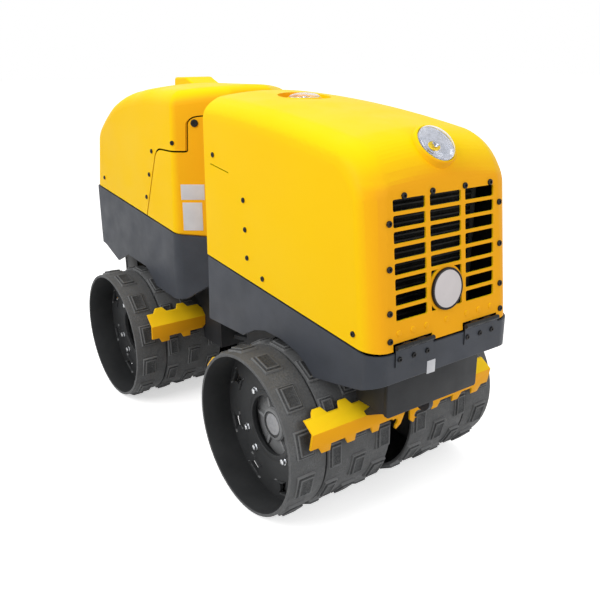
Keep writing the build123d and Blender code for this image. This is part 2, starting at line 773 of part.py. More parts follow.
def make_running_gear():
    spindle_hole = rod_x(0.0, swing_axis_z, spindle_radius + 4.0, 0.0, bearing_start_x + 1.0)
    parts["front_carrier"] = carrier(front_floor_z) - spindle_hole
    parts["front_gearcase"] = gearcase(front_floor_z)
    parts["rear_gearcase"] = to_rear(gearcase(rear_floor_z))
    parts["front_scraper_outer"] = outer_scraper()
    parts["front_scraper_inner"] = inner_scraper()
    parts["rear_scraper_outer"] = to_rear(outer_scraper())
    parts["rear_scraper_inner"] = to_rear(inner_scraper())
    bearing = rod_x(0.0, swing_axis_z, bearing_radius, bearing_start_x, bearing_end_x)
    bearing -= rod_x(0.0, swing_axis_z, spindle_radius + running_clearance, 0.0, bearing_end_x + 1.0)
    parts["oscillation_bearing"] = bearing

    rear = to_rear(carrier(rear_floor_z))
    ear_plan = sharp((-cross_plate_x, -ear_root_half_width), (0.0, -ear_radius), (0.0, ear_radius),
                     (-cross_plate_x, ear_root_half_width))
    for z_low in (swing_axis_z + yoke_half_height + ear_gap,
                  swing_axis_z - yoke_half_height - ear_gap - ear_thickness):
        rear += from_plan(ear_plan, z_low, z_low + ear_thickness)
        rear += rod_z(0.0, 0.0, ear_radius, z_low, z_low + ear_thickness)
    rear -= rod_z(0.0, 0.0, steer_pin_radius + running_clearance, 0.0, sky_z)
    rear -= rod_x(cylinder_y, swing_axis_z, barrel_radius, -200.0, 0.0)
    parts["rear_carrier"] = rear


# Yoke between the oscillation spindle and the steering pin, with the cylinder's lug.
def make_centre_joint():
    low, high = swing_axis_z - yoke_half_height, swing_axis_z + yoke_half_height
    plate_end = yoke_plate_x + yoke_plate_thickness
    yoke = rod_z(0.0, 0.0, yoke_eye_radius, low, high)
    yoke += block(0.0, yoke_plate_x, -yoke_eye_radius, yoke_eye_radius, low, high)
    yoke += block(yoke_plate_x, plate_end, -yoke_plate_half_width, yoke_plate_half_width,
                  swing_axis_z - yoke_plate_half_height, swing_axis_z + yoke_plate_half_height)
    yoke += rod_x(0.0, swing_axis_z, spindle_radius, yoke_plate_x, bearing_end_x + seat_gap + spindle_nut_length)
    yoke += rod_x(0.0, swing_axis_z, spindle_nut_radius, bearing_end_x + seat_gap,
                  bearing_end_x + seat_gap + spindle_nut_length)
    lug_high = swing_axis_z - rod_eye_thickness / 2.0 - lug_to_eye_gap
    lug_plan = sharp((plate_end, yoke_eye_radius), (plate_end, yoke_plate_half_width + 8.0),
                     (rod_eye_x + rod_eye_radius, cylinder_y + rod_eye_radius),
                     (rod_eye_x - rod_eye_radius, cylinder_y + rod_eye_radius),
                     (rod_eye_x - rod_eye_radius, cylinder_y - rod_eye_radius), (yoke_plate_x, yoke_eye_radius))
    yoke += from_plan(lug_plan, lug_high - cylinder_lug_thickness, lug_high)
    parts["steering_yoke"] = yoke - rod_z(0.0, 0.0, steer_pin_radius, 0.0, sky_z)

    ear_top = high + ear_gap + ear_thickness + seat_gap
    ear_bottom = low - ear_gap - ear_thickness - seat_gap
    pin = rod_z(0.0, 0.0, steer_pin_radius, ear_bottom - steer_pin_head, ear_top + steer_pin_head)
    pin += rod_z(0.0, 0.0, steer_pin_head_radius, ear_top, ear_top + steer_pin_head)
    pin += rod_z(0.0, 0.0, steer_pin_head_radius, ear_bottom - steer_pin_head, ear_bottom)
    parts["steering_pin"] = pin

    foot_z = swing_axis_z + yoke_plate_half_height
    mast_plan = sharp((yoke_plate_x, foot_z), (yoke_plate_x + mast_foot_width, foot_z),
                      (lift_eye_x + mast_top_width / 2.0, lift_eye_z), (lift_eye_x - mast_top_width / 2.0, lift_eye_z))
    mast = from_side(mast_plan, -mast_half_thickness, mast_half_thickness)
    mast += rod_y(lift_eye_x, lift_eye_z, lift_eye_radius, -mast_half_thickness, mast_half_thickness)
    parts["lifting_mast"] = mast - rod_y(lift_eye_x, lift_eye_z, lift_bore_radius, -reach_y, reach_y)

    barrel = rod_x(cylinder_y, swing_axis_z, barrel_radius, barrel_start_x, barrel_end_x)
    barrel -= rod_x(cylinder_y, swing_axis_z, rod_radius + running_clearance, barrel_start_x + barrel_cap, 0.0)
    parts["steering_barrel"] = barrel
    rod = rod_x(cylinder_y, swing_axis_z, rod_radius, rod_inner_x, rod_eye_x)
    half_eye = rod_eye_thickness / 2.0
    rod -= rod_z(rod_eye_x, cylinder_y, rod_eye_radius, 0.0, sky_z)
    rod += rod_z(rod_eye_x, cylinder_y, rod_eye_radius, swing_axis_z - half_eye, swing_axis_z + half_eye)
    rod += rod_z(rod_eye_x, cylinder_y, rod_pin_radius, swing_axis_z, swing_axis_z + half_eye + rod_pin_head)
    parts["steering_rod"] = rod


def write_parts():
    os.makedirs("parts", exist_ok=True)
    for name, shape in parts.items():
        solids = shape if isinstance(shape, list) else [shape]
        pieces = [piece for solid in solids for piece in solid.solids()]
        export_step(Compound(children=pieces) if len(pieces) > 1 else pieces[0], f"parts/{name}.step")
        print(name, len(pieces))


make_axles()
make_front_half()
make_rear_half()
make_running_gear()
make_centre_joint()
write_parts()
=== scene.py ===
import json
import math

import bmesh
import bpy
from mathutils import Matrix, Vector
from mathutils.bvhtree import BVHTree


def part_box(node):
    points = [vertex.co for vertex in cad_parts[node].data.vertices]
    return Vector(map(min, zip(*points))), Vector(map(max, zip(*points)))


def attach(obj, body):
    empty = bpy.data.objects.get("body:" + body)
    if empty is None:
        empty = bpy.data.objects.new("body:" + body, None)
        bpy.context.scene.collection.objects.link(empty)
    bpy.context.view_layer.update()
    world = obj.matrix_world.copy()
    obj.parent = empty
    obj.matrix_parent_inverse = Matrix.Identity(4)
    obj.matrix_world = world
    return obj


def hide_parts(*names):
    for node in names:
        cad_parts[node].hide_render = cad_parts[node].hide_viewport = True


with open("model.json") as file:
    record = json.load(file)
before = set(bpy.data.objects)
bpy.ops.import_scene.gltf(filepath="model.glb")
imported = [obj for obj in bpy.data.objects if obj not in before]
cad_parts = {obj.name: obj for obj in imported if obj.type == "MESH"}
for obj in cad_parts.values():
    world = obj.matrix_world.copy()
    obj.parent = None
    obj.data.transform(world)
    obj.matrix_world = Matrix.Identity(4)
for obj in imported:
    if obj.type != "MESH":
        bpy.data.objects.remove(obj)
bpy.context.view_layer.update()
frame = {"nodes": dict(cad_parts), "record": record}
nodes = frame["nodes"]
mergeDistance = 0.00001
slotOfNode = {part["node"]: part["material_slot"] for part in frame["record"]["subparts"]}
bodyRows = frame["record"]["behaviour"]["bodies"]
bodyOfNode = {node: body for body, members in bodyRows.items() for node in members}


# Small helpers for working as by hand

def deselectAll():
    if bpy.context.mode != "OBJECT":
        bpy.ops.object.mode_set(mode="OBJECT")
    bpy.ops.object.select_all(action="DESELECT")


def choose(piece):
    deselectAll()
    piece.select_set(True)
    bpy.context.view_layer.objects.active = piece


def called(name):
    piece = bpy.context.active_object
    piece.name = name
    piece.data.name = name
    return piece


def settle(piece):       # the place goes into the mesh, the object back to the origin
    choose(piece)
    bpy.ops.object.transform_apply(location=True, rotation=True, scale=True)
    return piece


def addBox(name, low, high):
    deselectAll()
    low, high = Vector(low), Vector(high)
    bpy.ops.mesh.primitive_cube_add(size=1, location=(low + high) / 2)
    piece = called(name)
    piece.scale = high - low
    return settle(piece)


def addRod(name, radius, low, high, sides=32, axis="Z", ends="NGON"):
    deselectAll()
    low, high = Vector(low), Vector(high)
    turn = {"X": (0, math.pi / 2, 0), "Y": (math.pi / 2, 0, 0), "Z": (0, 0, 0)}[axis]
    bpy.ops.mesh.primitive_cylinder_add(vertices=sides, radius=radius, depth=(high - low).length,
                                        location=(low + high) / 2, rotation=turn, end_fill_type=ends)
    return settle(called(name))


def editWith(piece, faceTest=None, edgeTest=None):
    choose(piece)
    bpy.ops.object.mode_set(mode="EDIT")
    bpy.ops.mesh.select_mode(type="FACE" if faceTest else "EDGE")
    bpy.ops.mesh.select_all(action="DESELECT")
    mesh = bmesh.from_edit_mesh(piece.data)
    for item in mesh.faces if faceTest else mesh.edges:
        if (faceTest or edgeTest)(item):
            item.select_set(True)
    bmesh.update_edit_mesh(piece.data)


def backToObject():
    bpy.ops.object.mode_set(mode="OBJECT")


def editAll(piece):
    choose(piece)
    bpy.ops.object.mode_set(mode="EDIT")
    bpy.ops.mesh.select_all(action="SELECT")


def useModifier(piece, kind, **settings):
    choose(piece)
    modifier = piece.modifiers.new(kind.lower(), kind)
    for key, value in settings.items():
        setattr(modifier, key, value)
    bpy.ops.object.modifier_apply(modifier=modifier.name)
    return piece


def bevelEdges(piece, width, segments=2, angle=40):
    return useModifier(piece, "BEVEL", width=width, segments=segments, limit_method="ANGLE",
                       angle_limit=math.radians(angle))


def smooth(piece, angle=35):
    choose(piece)
    bpy.ops.object.shade_smooth_by_angle(angle=math.radians(angle))
    return piece


def cutWith(piece, cutter):
    useModifier(piece, "BOOLEAN", operation="DIFFERENCE", object=cutter, solver="EXACT", use_self=True)
    bpy.data.objects.remove(cutter)
    return piece


def copyOf(piece, name, matrix=Matrix.Identity(4)):
    twin = piece.copy()
    twin.data = piece.data.copy()
    twin.name = twin.data.name = name
    bpy.context.scene.collection.objects.link(twin)
    twin.data.transform(matrix)
    return twin


def joined(pieces, name):
    deselectAll()
    for piece in pieces:
        piece.select_set(True)
    bpy.context.view_layer.objects.active = pieces[0]
    if len(pieces) > 1:
        bpy.ops.object.join()
    return called(name)


def facesOut(piece):
    editWith(piece, faceTest=lambda face: True)
    bpy.ops.mesh.normals_make_consistent(inside=False)
    backToObject()
    return piece


def traced(name, points, fill=True):      # a flat face, or a line only, through the points in their order
    deselectAll()
    bpy.ops.mesh.primitive_plane_add(size=0.01)
    piece = called(name)
    bpy.ops.object.mode_set(mode="EDIT")
    bpy.ops.mesh.select_mode(type="VERT")
    bpy.ops.mesh.select_all(action="SELECT")
    bpy.ops.mesh.merge(type="CENTER")
    bpy.ops.transform.translate(value=points[0])
    for before, after in zip(points, points[1:]):
        step = Vector(after) - Vector(before)
        bpy.ops.mesh.extrude_vertices_move(TRANSFORM_OT_translate={"value": step})
    bpy.ops.mesh.select_all(action="SELECT")
    if fill:
        bpy.ops.mesh.edge_face_add()
    backToObject()
    return piece


def pulled(piece, step):       # a flat face drawn out to a block
    editWith(piece, faceTest=lambda face: True)
    bpy.ops.mesh.extrude_region_move(TRANSFORM_OT_translate={"value": step})
    backToObject()
    return facesOut(piece)


def turned(name, points, steps):      # a line of (radius, height) spun round the Z axis
    editAll(traced(name, [(radius, 0, height) for radius, height in points], fill=False))
    bpy.ops.mesh.spin(steps=steps, angle=math.tau, center=(0, 0, 0), axis=(0, 0, 1))
    bpy.ops.mesh.select_all(action="SELECT")
    bpy.ops.mesh.remove_doubles(threshold=mergeDistance)
    backToObject()
    return facesOut(bpy.context.active_object)


def keptWithin(piece, block):
    useModifier(piece, "BOOLEAN", operation="INTERSECT", object=block, solver="EXACT")
    bpy.data.objects.remove(block)
    return piece


def withMirrorImage(piece, name):      # the piece and its image on the other side of the machine
    image = copyOf(piece, name, Matrix.Scale(-1, 4, (0, 1, 0)))
    return joined([piece, facesOut(image)], name)


def turnOf(index, count, first=0.0):       # a turn about the axle to one of count equal places
    return Matrix.Rotation(math.radians(first + index * 360 / count), 4, "Y")


def share(value):
    return min(max(value, 0.0), 1.0)


def spread(model, places, name):     # one copy at each (place, outward normal), then the model goes
    copies = []
    for place, normal in places:
        turn = Vector(normal).to_track_quat("Z", "Y").to_matrix().to_4x4()
        copies.append(copyOf(model, name, Matrix.Translation(place) @ turn))
    bpy.data.objects.remove(model)
    return joined(copies, name)


def finished(piece, body, material):
    piece.data.materials.clear()
    piece.data.materials.append(material)
    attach(piece, body)
    return piece


treeOf = {}


def surfaceAt(piece, start, direction):      # where a line from start first meets the piece
    if piece.name not in treeOf:
        mesh = piece.data
        treeOf[piece.name] = BVHTree.FromPolygons([v.co.copy() for v in mesh.vertices],
                                                  [tuple(p.vertices) for p in mesh.polygons])
    place, normal, index, far = treeOf[piece.name].ray_cast(Vector(start), Vector(direction).normalized())
    if place is None:
        raise RuntimeError(f"no surface of {piece.name} from {start}")
    if normal.dot(Vector(direction)) > 0:
        normal = -normal
    return place, normal


# Materials

def fromScreen(red, green, blue):    # 0-255 values as seen on a screen
    def linear(value):
        value /= 255
        return value / 12.92 if value <= 0.04045 else ((value + 0.055) / 1.055) ** 2.4
    return (linear(red), linear(green), linear(blue), 1.0)


def startMaterial(name, roughness, metallic=0.0, specular=0.5):
    material = bpy.data.materials.new(name)
    material.use_nodes = True
    shader = material.node_tree.nodes["Principled BSDF"]
    shader.inputs["Roughness"].default_value = roughness
    shader.inputs["Metallic"].default_value = metallic
    shader.inputs["Specular IOR Level"].default_value = specular
    return material, shader


def addNode(material, kind, **sockets):
    node = material.node_tree.nodes.new(kind)
    for key, value in sockets.items():
        node.inputs[key].default_value = value
    return node


def link(material, source, target):
    material.node_tree.links.new(source, target)


def objectNoise(material, scale, detail=4.0, roughness=0.5):
    place = addNode(material, "ShaderNodeTexCoord")
    noise = addNode(material, "ShaderNodeTexNoise", Scale=scale, Detail=detail, Roughness=roughness)
    link(material, place.outputs["Object"], noise.inputs["Vector"])
    return noise.outputs["Fac"]


def ranged(material, value, low, high, newLow=0.0, newHigh=1.0):
    node = addNode(material, "ShaderNodeMapRange")
    for index, number in enumerate((low, high, newLow, newHigh), start=1):
        node.inputs[index].default_value = number
    link(material, value, node.inputs[0])
    return node.outputs[0]


def unevenGloss(material, shader, scale, detail, low, high):
    gloss = ranged(material, objectNoise(material, scale, detail), 0.3, 0.7, low, high)
    link(material, gloss, shader.inputs["Roughness"])


def mixed(material, factor, first, second):     # first and second are colours or colour outputs
    node = material.node_tree.nodes.new("ShaderNodeMix")
    node.data_type = "RGBA"
    link(material, factor, node.inputs[0])
    for source, socket in ((first, node.inputs[6]), (second, node.inputs[7])):
        if isinstance(source, tuple):
            socket.default_value = source
        else:
            link(material, source, socket)
    return node.outputs[2]


def addBump(material, shader, height, strength, distance):
    bump = addNode(material, "ShaderNodeBump", Strength=strength, Distance=distance)
    link(material, height, bump.inputs["Height"])
    link(material, bump.outputs["Normal"], shader.inputs["Normal"])


# top, side and end are one yellow, as lit from above and shaded at the front: painted light and shade
paint = {"top": (255, 224, 0), "side": (251, 203, 14), "end": (245, 172, 26), "roughness": 0.42,
         "peelScale": 700.0, "peel": 0.05}


def makeYellowPaintAndShade(name, top, side, end):
    material, shader = startMaterial(name, paint["roughness"], specular=0.06)
    place = addNode(material, "ShaderNodeTexCoord")
    split = addNode(material, "ShaderNodeSeparateXYZ")
    link(material, place.outputs["Normal"], split.inputs[0])
    paintedShadeForward = ranged(material, split.outputs["X"], 0.25, 0.93)     # painted shade: deeper orange where a panel faces forward
    # painted light: paler lemon where a panel faces up
    paintedLightUpward = ranged(material, split.outputs["Z"], 0.3, 0.85)
    base = mixed(material, paintedShadeForward, fromScreen(*side), fromScreen(*end))
    base = mixed(material, paintedLightUpward, base, fromScreen(*top))
    cloud = ranged(material, objectNoise(material, 2.2, 3.0), 0.35, 0.7, 0.0, 0.10)
    base = mixed(material, cloud, base, fromScreen(*end))
    link(material, base, shader.inputs["Base Color"])
    unevenGloss(material, shader, 9.0, 5.0, paint["roughness"] - 0.06, paint["roughness"] + 0.08)
    addBump(material, shader, objectNoise(material, paint["peelScale"], 2.0), paint["peel"], 0.0006)
    return material


def makeGreyPaint(name, light, dark, roughness, peel=0.06):
    material, shader = startMaterial(name, roughness, specular=0.18)
    dust = ranged(material, objectNoise(material, 5.0, 6.0, 0.6), 0.35, 0.7)
    base = mixed(material, dust, fromScreen(*dark), fromScreen(*light))
    link(material, base, shader.inputs["Base Color"])
    unevenGloss(material, shader, 14.0, 5.0, roughness - 0.07, roughness + 0.08)
    addBump(material, shader, objectNoise(material, 800.0, 2.0), peel, 0.0006)
    return material


def makeCastIron(name):
    material, shader = startMaterial(name, 0.6, specular=0.16)
    speckle = ranged(material, objectNoise(material, 190.0, 6.0, 0.75), 0.36, 0.66)
    patch = ranged(material, objectNoise(material, 16.0, 6.0, 0.65), 0.35, 0.68)
    base = mixed(material, speckle, fromScreen(40, 41, 42), fromScreen(94, 95, 96))
    base = mixed(material, patch, base, fromScreen(56, 57, 58))
    # lighter on sharp edges, found by pointiness
    edge = addNode(material, "ShaderNodeNewGeometry")
    sharpEdgeShare = ranged(material, edge.outputs["Pointiness"], 0.52, 0.60, 0.0, 0.75)
    base = mixed(material, sharpEdgeShare, base, fromScreen(150, 151, 152))
    link(material, base, shader.inputs["Base Color"])
    unevenGloss(material, shader, 60.0, 5.0, 0.48, 0.75)
    addBump(material, shader, objectNoise(material, 260.0, 6.0, 0.7), 0.55, 0.0012)
    return material


def makeMetal(name, colour, roughness, scale=500.0, grain=0.08):
    material, shader = startMaterial(name, roughness, metallic=1.0)
    stain = ranged(material, objectNoise(material, 90.0, 4.0), 0.35, 0.7, 0.0, 0.5)
    dull = tuple(channel * 0.6 for channel in fromScreen(*colour)[:3]) + (1.0,)
    link(material, mixed(material, stain, fromScreen(*colour), dull), shader.inputs["Base Color"])
    unevenGloss(material, shader, 120.0, 4.0, roughness * 0.7, roughness * 1.3)
    addBump(material, shader, objectNoise(material, scale), grain, 0.0004)
    return material


def makeGlass(name):
    material, shader = startMaterial(name, 0.03)
    shader.inputs["Transmission Weight"].default_value = 1.0
    shader.inputs["IOR"].default_value = 1.35
    film = ranged(material, objectNoise(material, 40.0), 0.4, 0.7)
    link(material, mixed(material, film, fromScreen(252, 253, 255), fromScreen(240, 243, 247)),
         shader.inputs["Base Color"])
    addBump(material, shader, objectNoise(material, 120.0), 0.02, 0.0005)
    return material


# hood and scraper yellows, both with painted light and shade by which way a face turns
hoodPaintAndShade = makeYellowPaintAndShade("hoodPaintAndShade", paint["top"], paint["side"], paint["end"])
scraperPaintAndShade = makeYellowPaintAndShade("scraperPaintAndShade", (255, 214, 30), (252, 190, 20), (246, 172, 26))
skirtPaint = makeGreyPaint("skirtPaint", (67, 70, 77), (57, 60, 66), 0.46)
framePaint = makeGreyPaint("framePaint", (50, 51, 53), (34, 35, 37), 0.5)
hingePaint = makeGreyPaint("hingePaint", (50, 51, 52), (30, 31, 32), 0.32)
castIron = makeCastIron("castIron")
ringInside = makeGreyPaint("ringInside", (60, 61, 62), (44, 45, 46), 0.5, 0.1)
zinc = makeMetal("zinc", (205, 207, 210), 0.3)
axleSteel = makeMetal("axleSteel", (150, 151, 154), 0.38)
chrome = makeMetal("chrome", (225, 226, 230), 0.1, grain=0.02)
mirrorBowl = makeMetal("mirrorBowl", (206, 207, 214), 0.10, scale=60.0, grain=0.05)
darkScrew = makeGreyPaint("darkScrew", (32, 31, 32), (14, 14, 15), 0.36)
blankPlate = makeGreyPaint("blankPlate", (222, 223, 226), (196, 197, 201), 0.4, 0.02)
badgeFace = makeGreyPaint("badgeFace", (212, 206, 206), (196, 190, 191), 0.3, 0.02)
blackCore = makeGreyPaint("blackCore", (44, 43, 38), (14, 14, 14), 0.45)
clearGlass = makeGlass("clearGlass")
finishOfSlot = {
    "hood_yellow": hoodPaintAndShade, "cowl_yellow": hoodPaintAndShade, "scraper_yellow": scraperPaintAndShade,
    "skirt_grey": skirtPaint, "drum_iron": castIron, "frame_black": framePaint,
    "hinge_black": hingePaint, "lamp_ring": hoodPaintAndShade, "lamp_lens": clearGlass,
    "axle_steel": axleSteel, "rod_chrome": chrome, "plain_block": blackCore,
}
for nodeName, node in nodes.items():
    for holder in node.material_slots:
        holder.material = finishOfSlot[slotOfNode[nodeName]]
print("materials made")


# Bodywork and frame: merged copies of the construction with softened edges

softEdges = {        # node: (piece, edge width, angle over which an edge is softened)
    "front_hood": ("frontHoodShell", 0.0012, 38), "rear_hood": ("rearHoodShell", 0.0012, 38),
    "rear_cowl": ("rearCowlShell", 0.0012, 38), "front_grille": ("frontGrillePlate", 0.0011, 40),
    "front_tub": ("frontSkirt", 0.0022, 38), "rear_tub": ("rearSkirt", 0.0022, 38),
    "front_belly_pan": ("frontBellyPan", 0.0015, 40), "rear_belly_pan": ("rearBellyPan", 0.0015, 40),
    "front_carrier": ("frontCarrier", 0.0015, 40), "rear_carrier": ("rearCarrier", 0.0015, 40),
    "steering_yoke": ("steeringYoke", 0.0015, 40), "lifting_mast": ("liftingMast", 0.0015, 40),
    "steering_barrel": ("steeringBarrel", 0.0015, 40), "oscillation_bearing": ("swingBearing", 0.0015, 40),
    "front_hinge_leaves": ("frontSkirtHinges", 0.0005, 40),
    "rear_hinge_leaves": ("rearSkirtHinges", 0.0005, 40),
}
hinge = {"pinX": 0.920, "frontZ": 0.62102, "rearZ": 0.82602, "inner": 0.062, "outer": 0.196, "knuckles": 5,
         "gap": 0.0005, "radius": 0.0065, "bore": 0.0036, "side": 0.003, "above": 0.002}
notches = {"front_hood": (1, hinge["frontZ"]), "rear_hood": (-1, hinge["rearZ"])}


def cutNotches(piece, sign, pinZ):       # slots in the hood's lower edge for the hinge leaves
    for side in (-1, 1):
        near = side * (hinge["inner"] - hinge["side"])
        far = side * (hinge["outer"] + hinge["side"])
        near, far = sorted((near, far))
        low, high = sorted((sign * 0.890, sign * 0.930))
        cutWith(piece, addBox("notch", (low, near, pinZ - 0.03),
                              (high, far, pinZ + hinge["radius"] + hinge["above"])))


endFace = {"x": 0.911, "slope": 0.098, "pinZ": 0.62102}      # the front hood's leaning end
lean = math.atan(endFace["slope"])
faceOut = Vector((math.cos(lean), 0, math.sin(lean)))
faceUp = Vector((-math.sin(lean), 0, math.cos(lean)))


def onEndFace(y, up):
    return Vector((endFace["x"], y, endFace["pinZ"])) + faceUp * up


grille = {"columns": [(-0.1855, -0.0745), (-0.0585, 0.0565), (0.0725, 0.1855)], "first": 0.0805,
          "pitch": 0.0393, "rows": 8, "badgeRows": 3, "height": 0.030, "corner": 0.005,
          "badgeY": -0.003, "badgeUp": 0.1175, "badgeSeat": 0.064}


def grilleCutter(low, high, bottom, top):      # in the end face's own directions: out, across, up
    cutter = addBox("slot", (-0.03, low, bottom), (0.03, high, top))
    editWith(cutter, edgeTest=lambda edge: abs(edge.verts[0].co.x - edge.verts[1].co.x) > 0.01)
    bpy.ops.mesh.bevel(offset=grille["corner"], segments=4)
    backToObject()
    return cutter


def openGrille(piece):       # taller slots, and openings in the corners beside the badge
    half, cutters = grille["height"] / 2, []
    for column, (low, high) in enumerate(grille["columns"]):
        for row in range(grille["rows"]):
            if column != 1 or row >= grille["badgeRows"]:
                up = grille["first"] + row * grille["pitch"]
                cutters.append(grilleCutter(low, high, up - half, up + half))
    low, high = grille["columns"][1]
    top = grille["first"] + (grille["badgeRows"] - 1) * grille["pitch"] + half
    field = grilleCutter(low, high, grille["first"] - half, top)
    seat = addRod("seat", grille["badgeSeat"], (-0.04, grille["badgeY"], grille["badgeUp"]),
                  (0.04, grille["badgeY"], grille["badgeUp"]), 64, "X")
    cutters.append(cutWith(field, seat))
    allCutters = joined(cutters, "grilleCutters")
    turn = Matrix((faceOut, (0, 1, 0), faceUp)).transposed().to_4x4()
    allCutters.data.transform(Matrix.Translation(onEndFace(0, 0)) @ turn)
    cutWith(piece, allCutters)


slit = {"start": (0.124, 1.004), "end": (0.235, 0.988), "height": 0.0035}


def cutSlits(piece):         # a narrow slit through each side of the front hood
    (nearX, nearZ), (farX, farZ) = slit["start"], slit["end"]
    middle = Vector(((nearX + farX) / 2, 0, (nearZ + farZ) / 2))
    turn = Matrix.Rotation(math.atan2(nearZ - farZ, farX - nearX), 4, "Y")
    for side in (-1, 1):
        low, high = sorted((side * 0.235, side * 0.275))
        cutter = addBox("slit", ((nearX - farX) / 2, low, -slit["height"] / 2),
                        ((farX - nearX) / 2, high, slit["height"] / 2))
        cutter.data.transform(Matrix.Translation(middle) @ turn)
        cutWith(piece, cutter)


crown = {"radius": 1.300, "flatFrom": -0.700, "curvedFrom": -0.480, "widerBy": 0.010, "full": 0.070,
         "fade": 0.045, "fadeAtSides": 0.130,
         "cuts": [0.03, 0.06, 0.09, 0.12, 0.15, 0.18, 0.205, 0.225]}
hoodsShadedInside = {"front_hood": 0.60, "rear_hood": 0.80, "rear_cowl": 0.80}     # node: a height low inside it; the inside of each gets black painted shade
roof = {"frontTop": 1.220, "frontStart": 0.085, "slope": 0.07619, "bend": 0.10781, "bendFrom": 0.4,
        "rearTop": 1.235, "curveFrom": -0.350, "curveRadius": 0.800}


def roofLine(x):         # height of the flat construction's top along the middle
    if x > 0:
        fall = roof["slope"] + roof["bend"] * (x - roof["bendFrom"])
        return roof["frontTop"] - fall * (x - roof["frontStart"])
    run = min(x - roof["curveFrom"], 0.0)
    return roof["rearTop"] - roof["curveRadius"] + math.sqrt(roof["curveRadius"] ** 2 - run ** 2)


def crownDrop(x, y, z):      # how far the crowned roof lies under the flat one
    reach = min(abs(y), 0.275)
    drop = crown["radius"] - math.sqrt(crown["radius"] ** 2 - reach ** 2)
    fade = crown["fade"] + (crown["fadeAtSides"] - crown["fade"]) * share((reach - 0.195) / 0.06)
    above = share((crown["full"] + fade - (roofLine(x) - z)) / fade)
    return drop * above * share((x - crown["flatFrom"]) / (crown["curvedFrom"] - crown["flatFrom"]))


def sideShift(x, y, z):      # the front hood is a little wider at the top than low down
    wider = crown["widerBy"] * share((z - 0.65) / 0.30) * share((abs(y) - 0.215) / 0.03)
    return math.copysign(wider, y) if x > 0.08 else 0.0


def addCrown(piece):
    editAll(piece)
    for place in [0.0] + crown["cuts"] + [-cut for cut in crown["cuts"]]:
        bpy.ops.mesh.select_all(action="SELECT")
        bpy.ops.mesh.bisect(plane_co=(0, place, 0), plane_no=(0, 1, 0))
    mesh = bmesh.from_edit_mesh(piece.data)
    for vert in mesh.verts:
        drop, shift = crownDrop(*vert.co), sideShift(*vert.co)
        vert.co.z -= drop
        vert.co.y += shift
    bmesh.update_edit_mesh(piece.data)
    backToObject()


def paintShadeInside(piece, lowHeight):     # faces that look back at a point low in the hood get black, a painted shade inside the hood
    xs = [v.co.x for v in piece.data.vertices]
    middle = Vector(((min(xs) + max(xs)) / 2, 0, lowHeight))
    piece.data.materials.append(blackCore)
    for face in piece.data.polygons:
        besideLamp = face.center.z > 1.10 and math.hypot(face.center.x - 0.27, face.center.y) < 0.10
        if face.normal.dot(face.center - middle) < -0.01 and not besideLamp:
            face.material_index = 1


def softenedCopy(nodeName, pieceName, width, angle):
    piece = bpy.data.objects.new(pieceName, nodes[nodeName].data.copy())
    bpy.context.scene.collection.objects.link(piece)
    choose(piece)
    if piece.data.has_custom_normals:
        bpy.ops.mesh.customdata_custom_splitnormals_clear()
    editAll(piece)
    bpy.ops.mesh.remove_doubles(threshold=mergeDistance)
    bpy.ops.mesh.dissolve_limited(angle_limit=math.radians(0.4))
    backToObject()
    if nodeName in hoodsShadedInside:
        addCrown(piece)
    if nodeName in notches:
        cutNotches(piece, *notches[nodeName])
    if nodeName == "front_hood":
        cutSlits(piece)
    if nodeName == "front_grille":
        openGrille(piece)
    bevelEdges(piece, width, 2, angle)
    smooth(piece, angle)
    useModifier(piece, "WEIGHTED_NORMAL", keep_sharp=True)
    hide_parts(nodeName)
    finished(piece, bodyOfNode[nodeName], finishOfSlot[slotOfNode[nodeName]])
    if nodeName in hoodsShadedInside:
        paintShadeInside(piece, hoodsShadedInside[nodeName])
    return piece


bodywork = {nodeName: softenedCopy(nodeName, *row) for nodeName, row in softEdges.items()}
for nodeName, pinZ in (("front_hinge_leaves", hinge["frontZ"]), ("rear_hinge_leaves", hinge["rearZ"])):
    leaf = bodywork[nodeName]         # leaves in the skirt's paint, barrels in bare dark steel
    leaf.data.materials.append(skirtPaint)
    for face in leaf.data.polygons:
        if face.center.z < pinZ - 0.009:
            face.material_index = 1

seamShade = {"near": 0.10, "far": 0.86, "level": 0.709, "fall": 0.112, "thickness": 0.003}
strips = []
for side in (-1, 1):         # dark strips behind the seam between hood and skirt, painted shade in the gap
    seam = seamShade["level"] - seamShade["fall"] * 0.5
    tubWall = abs(surfaceAt(bodywork["front_tub"], (0.5, 0, seam - 0.03), (0, side, 0))[0].y)
    hoodWall = abs(surfaceAt(bodywork["front_hood"], (0.5, 0, seam + 0.03), (0, side, 0))[0].y)
    outer = min(tubWall, hoodWall) - 0.0008
    for reach, low, high in ((tubWall + 0.0005, -0.022, -0.004), (outer, -0.006, 0.006)):
        near, far = sorted((side * (outer - seamShade["thickness"]), side * reach))
        strips.append(addBox("strip", (seamShade["near"], near, low), (seamShade["far"], far, high)))
strip = joined(strips, "frontSeamShade")
for vert in strip.data.vertices:
    vert.co.z += seamShade["level"] - seamShade["fall"] * vert.co.x
finished(strip, "front_chassis", framePaint)
print("bodywork and frame softened")


# Hood leaves of the hinges, inside the hood and through its notches to the pin

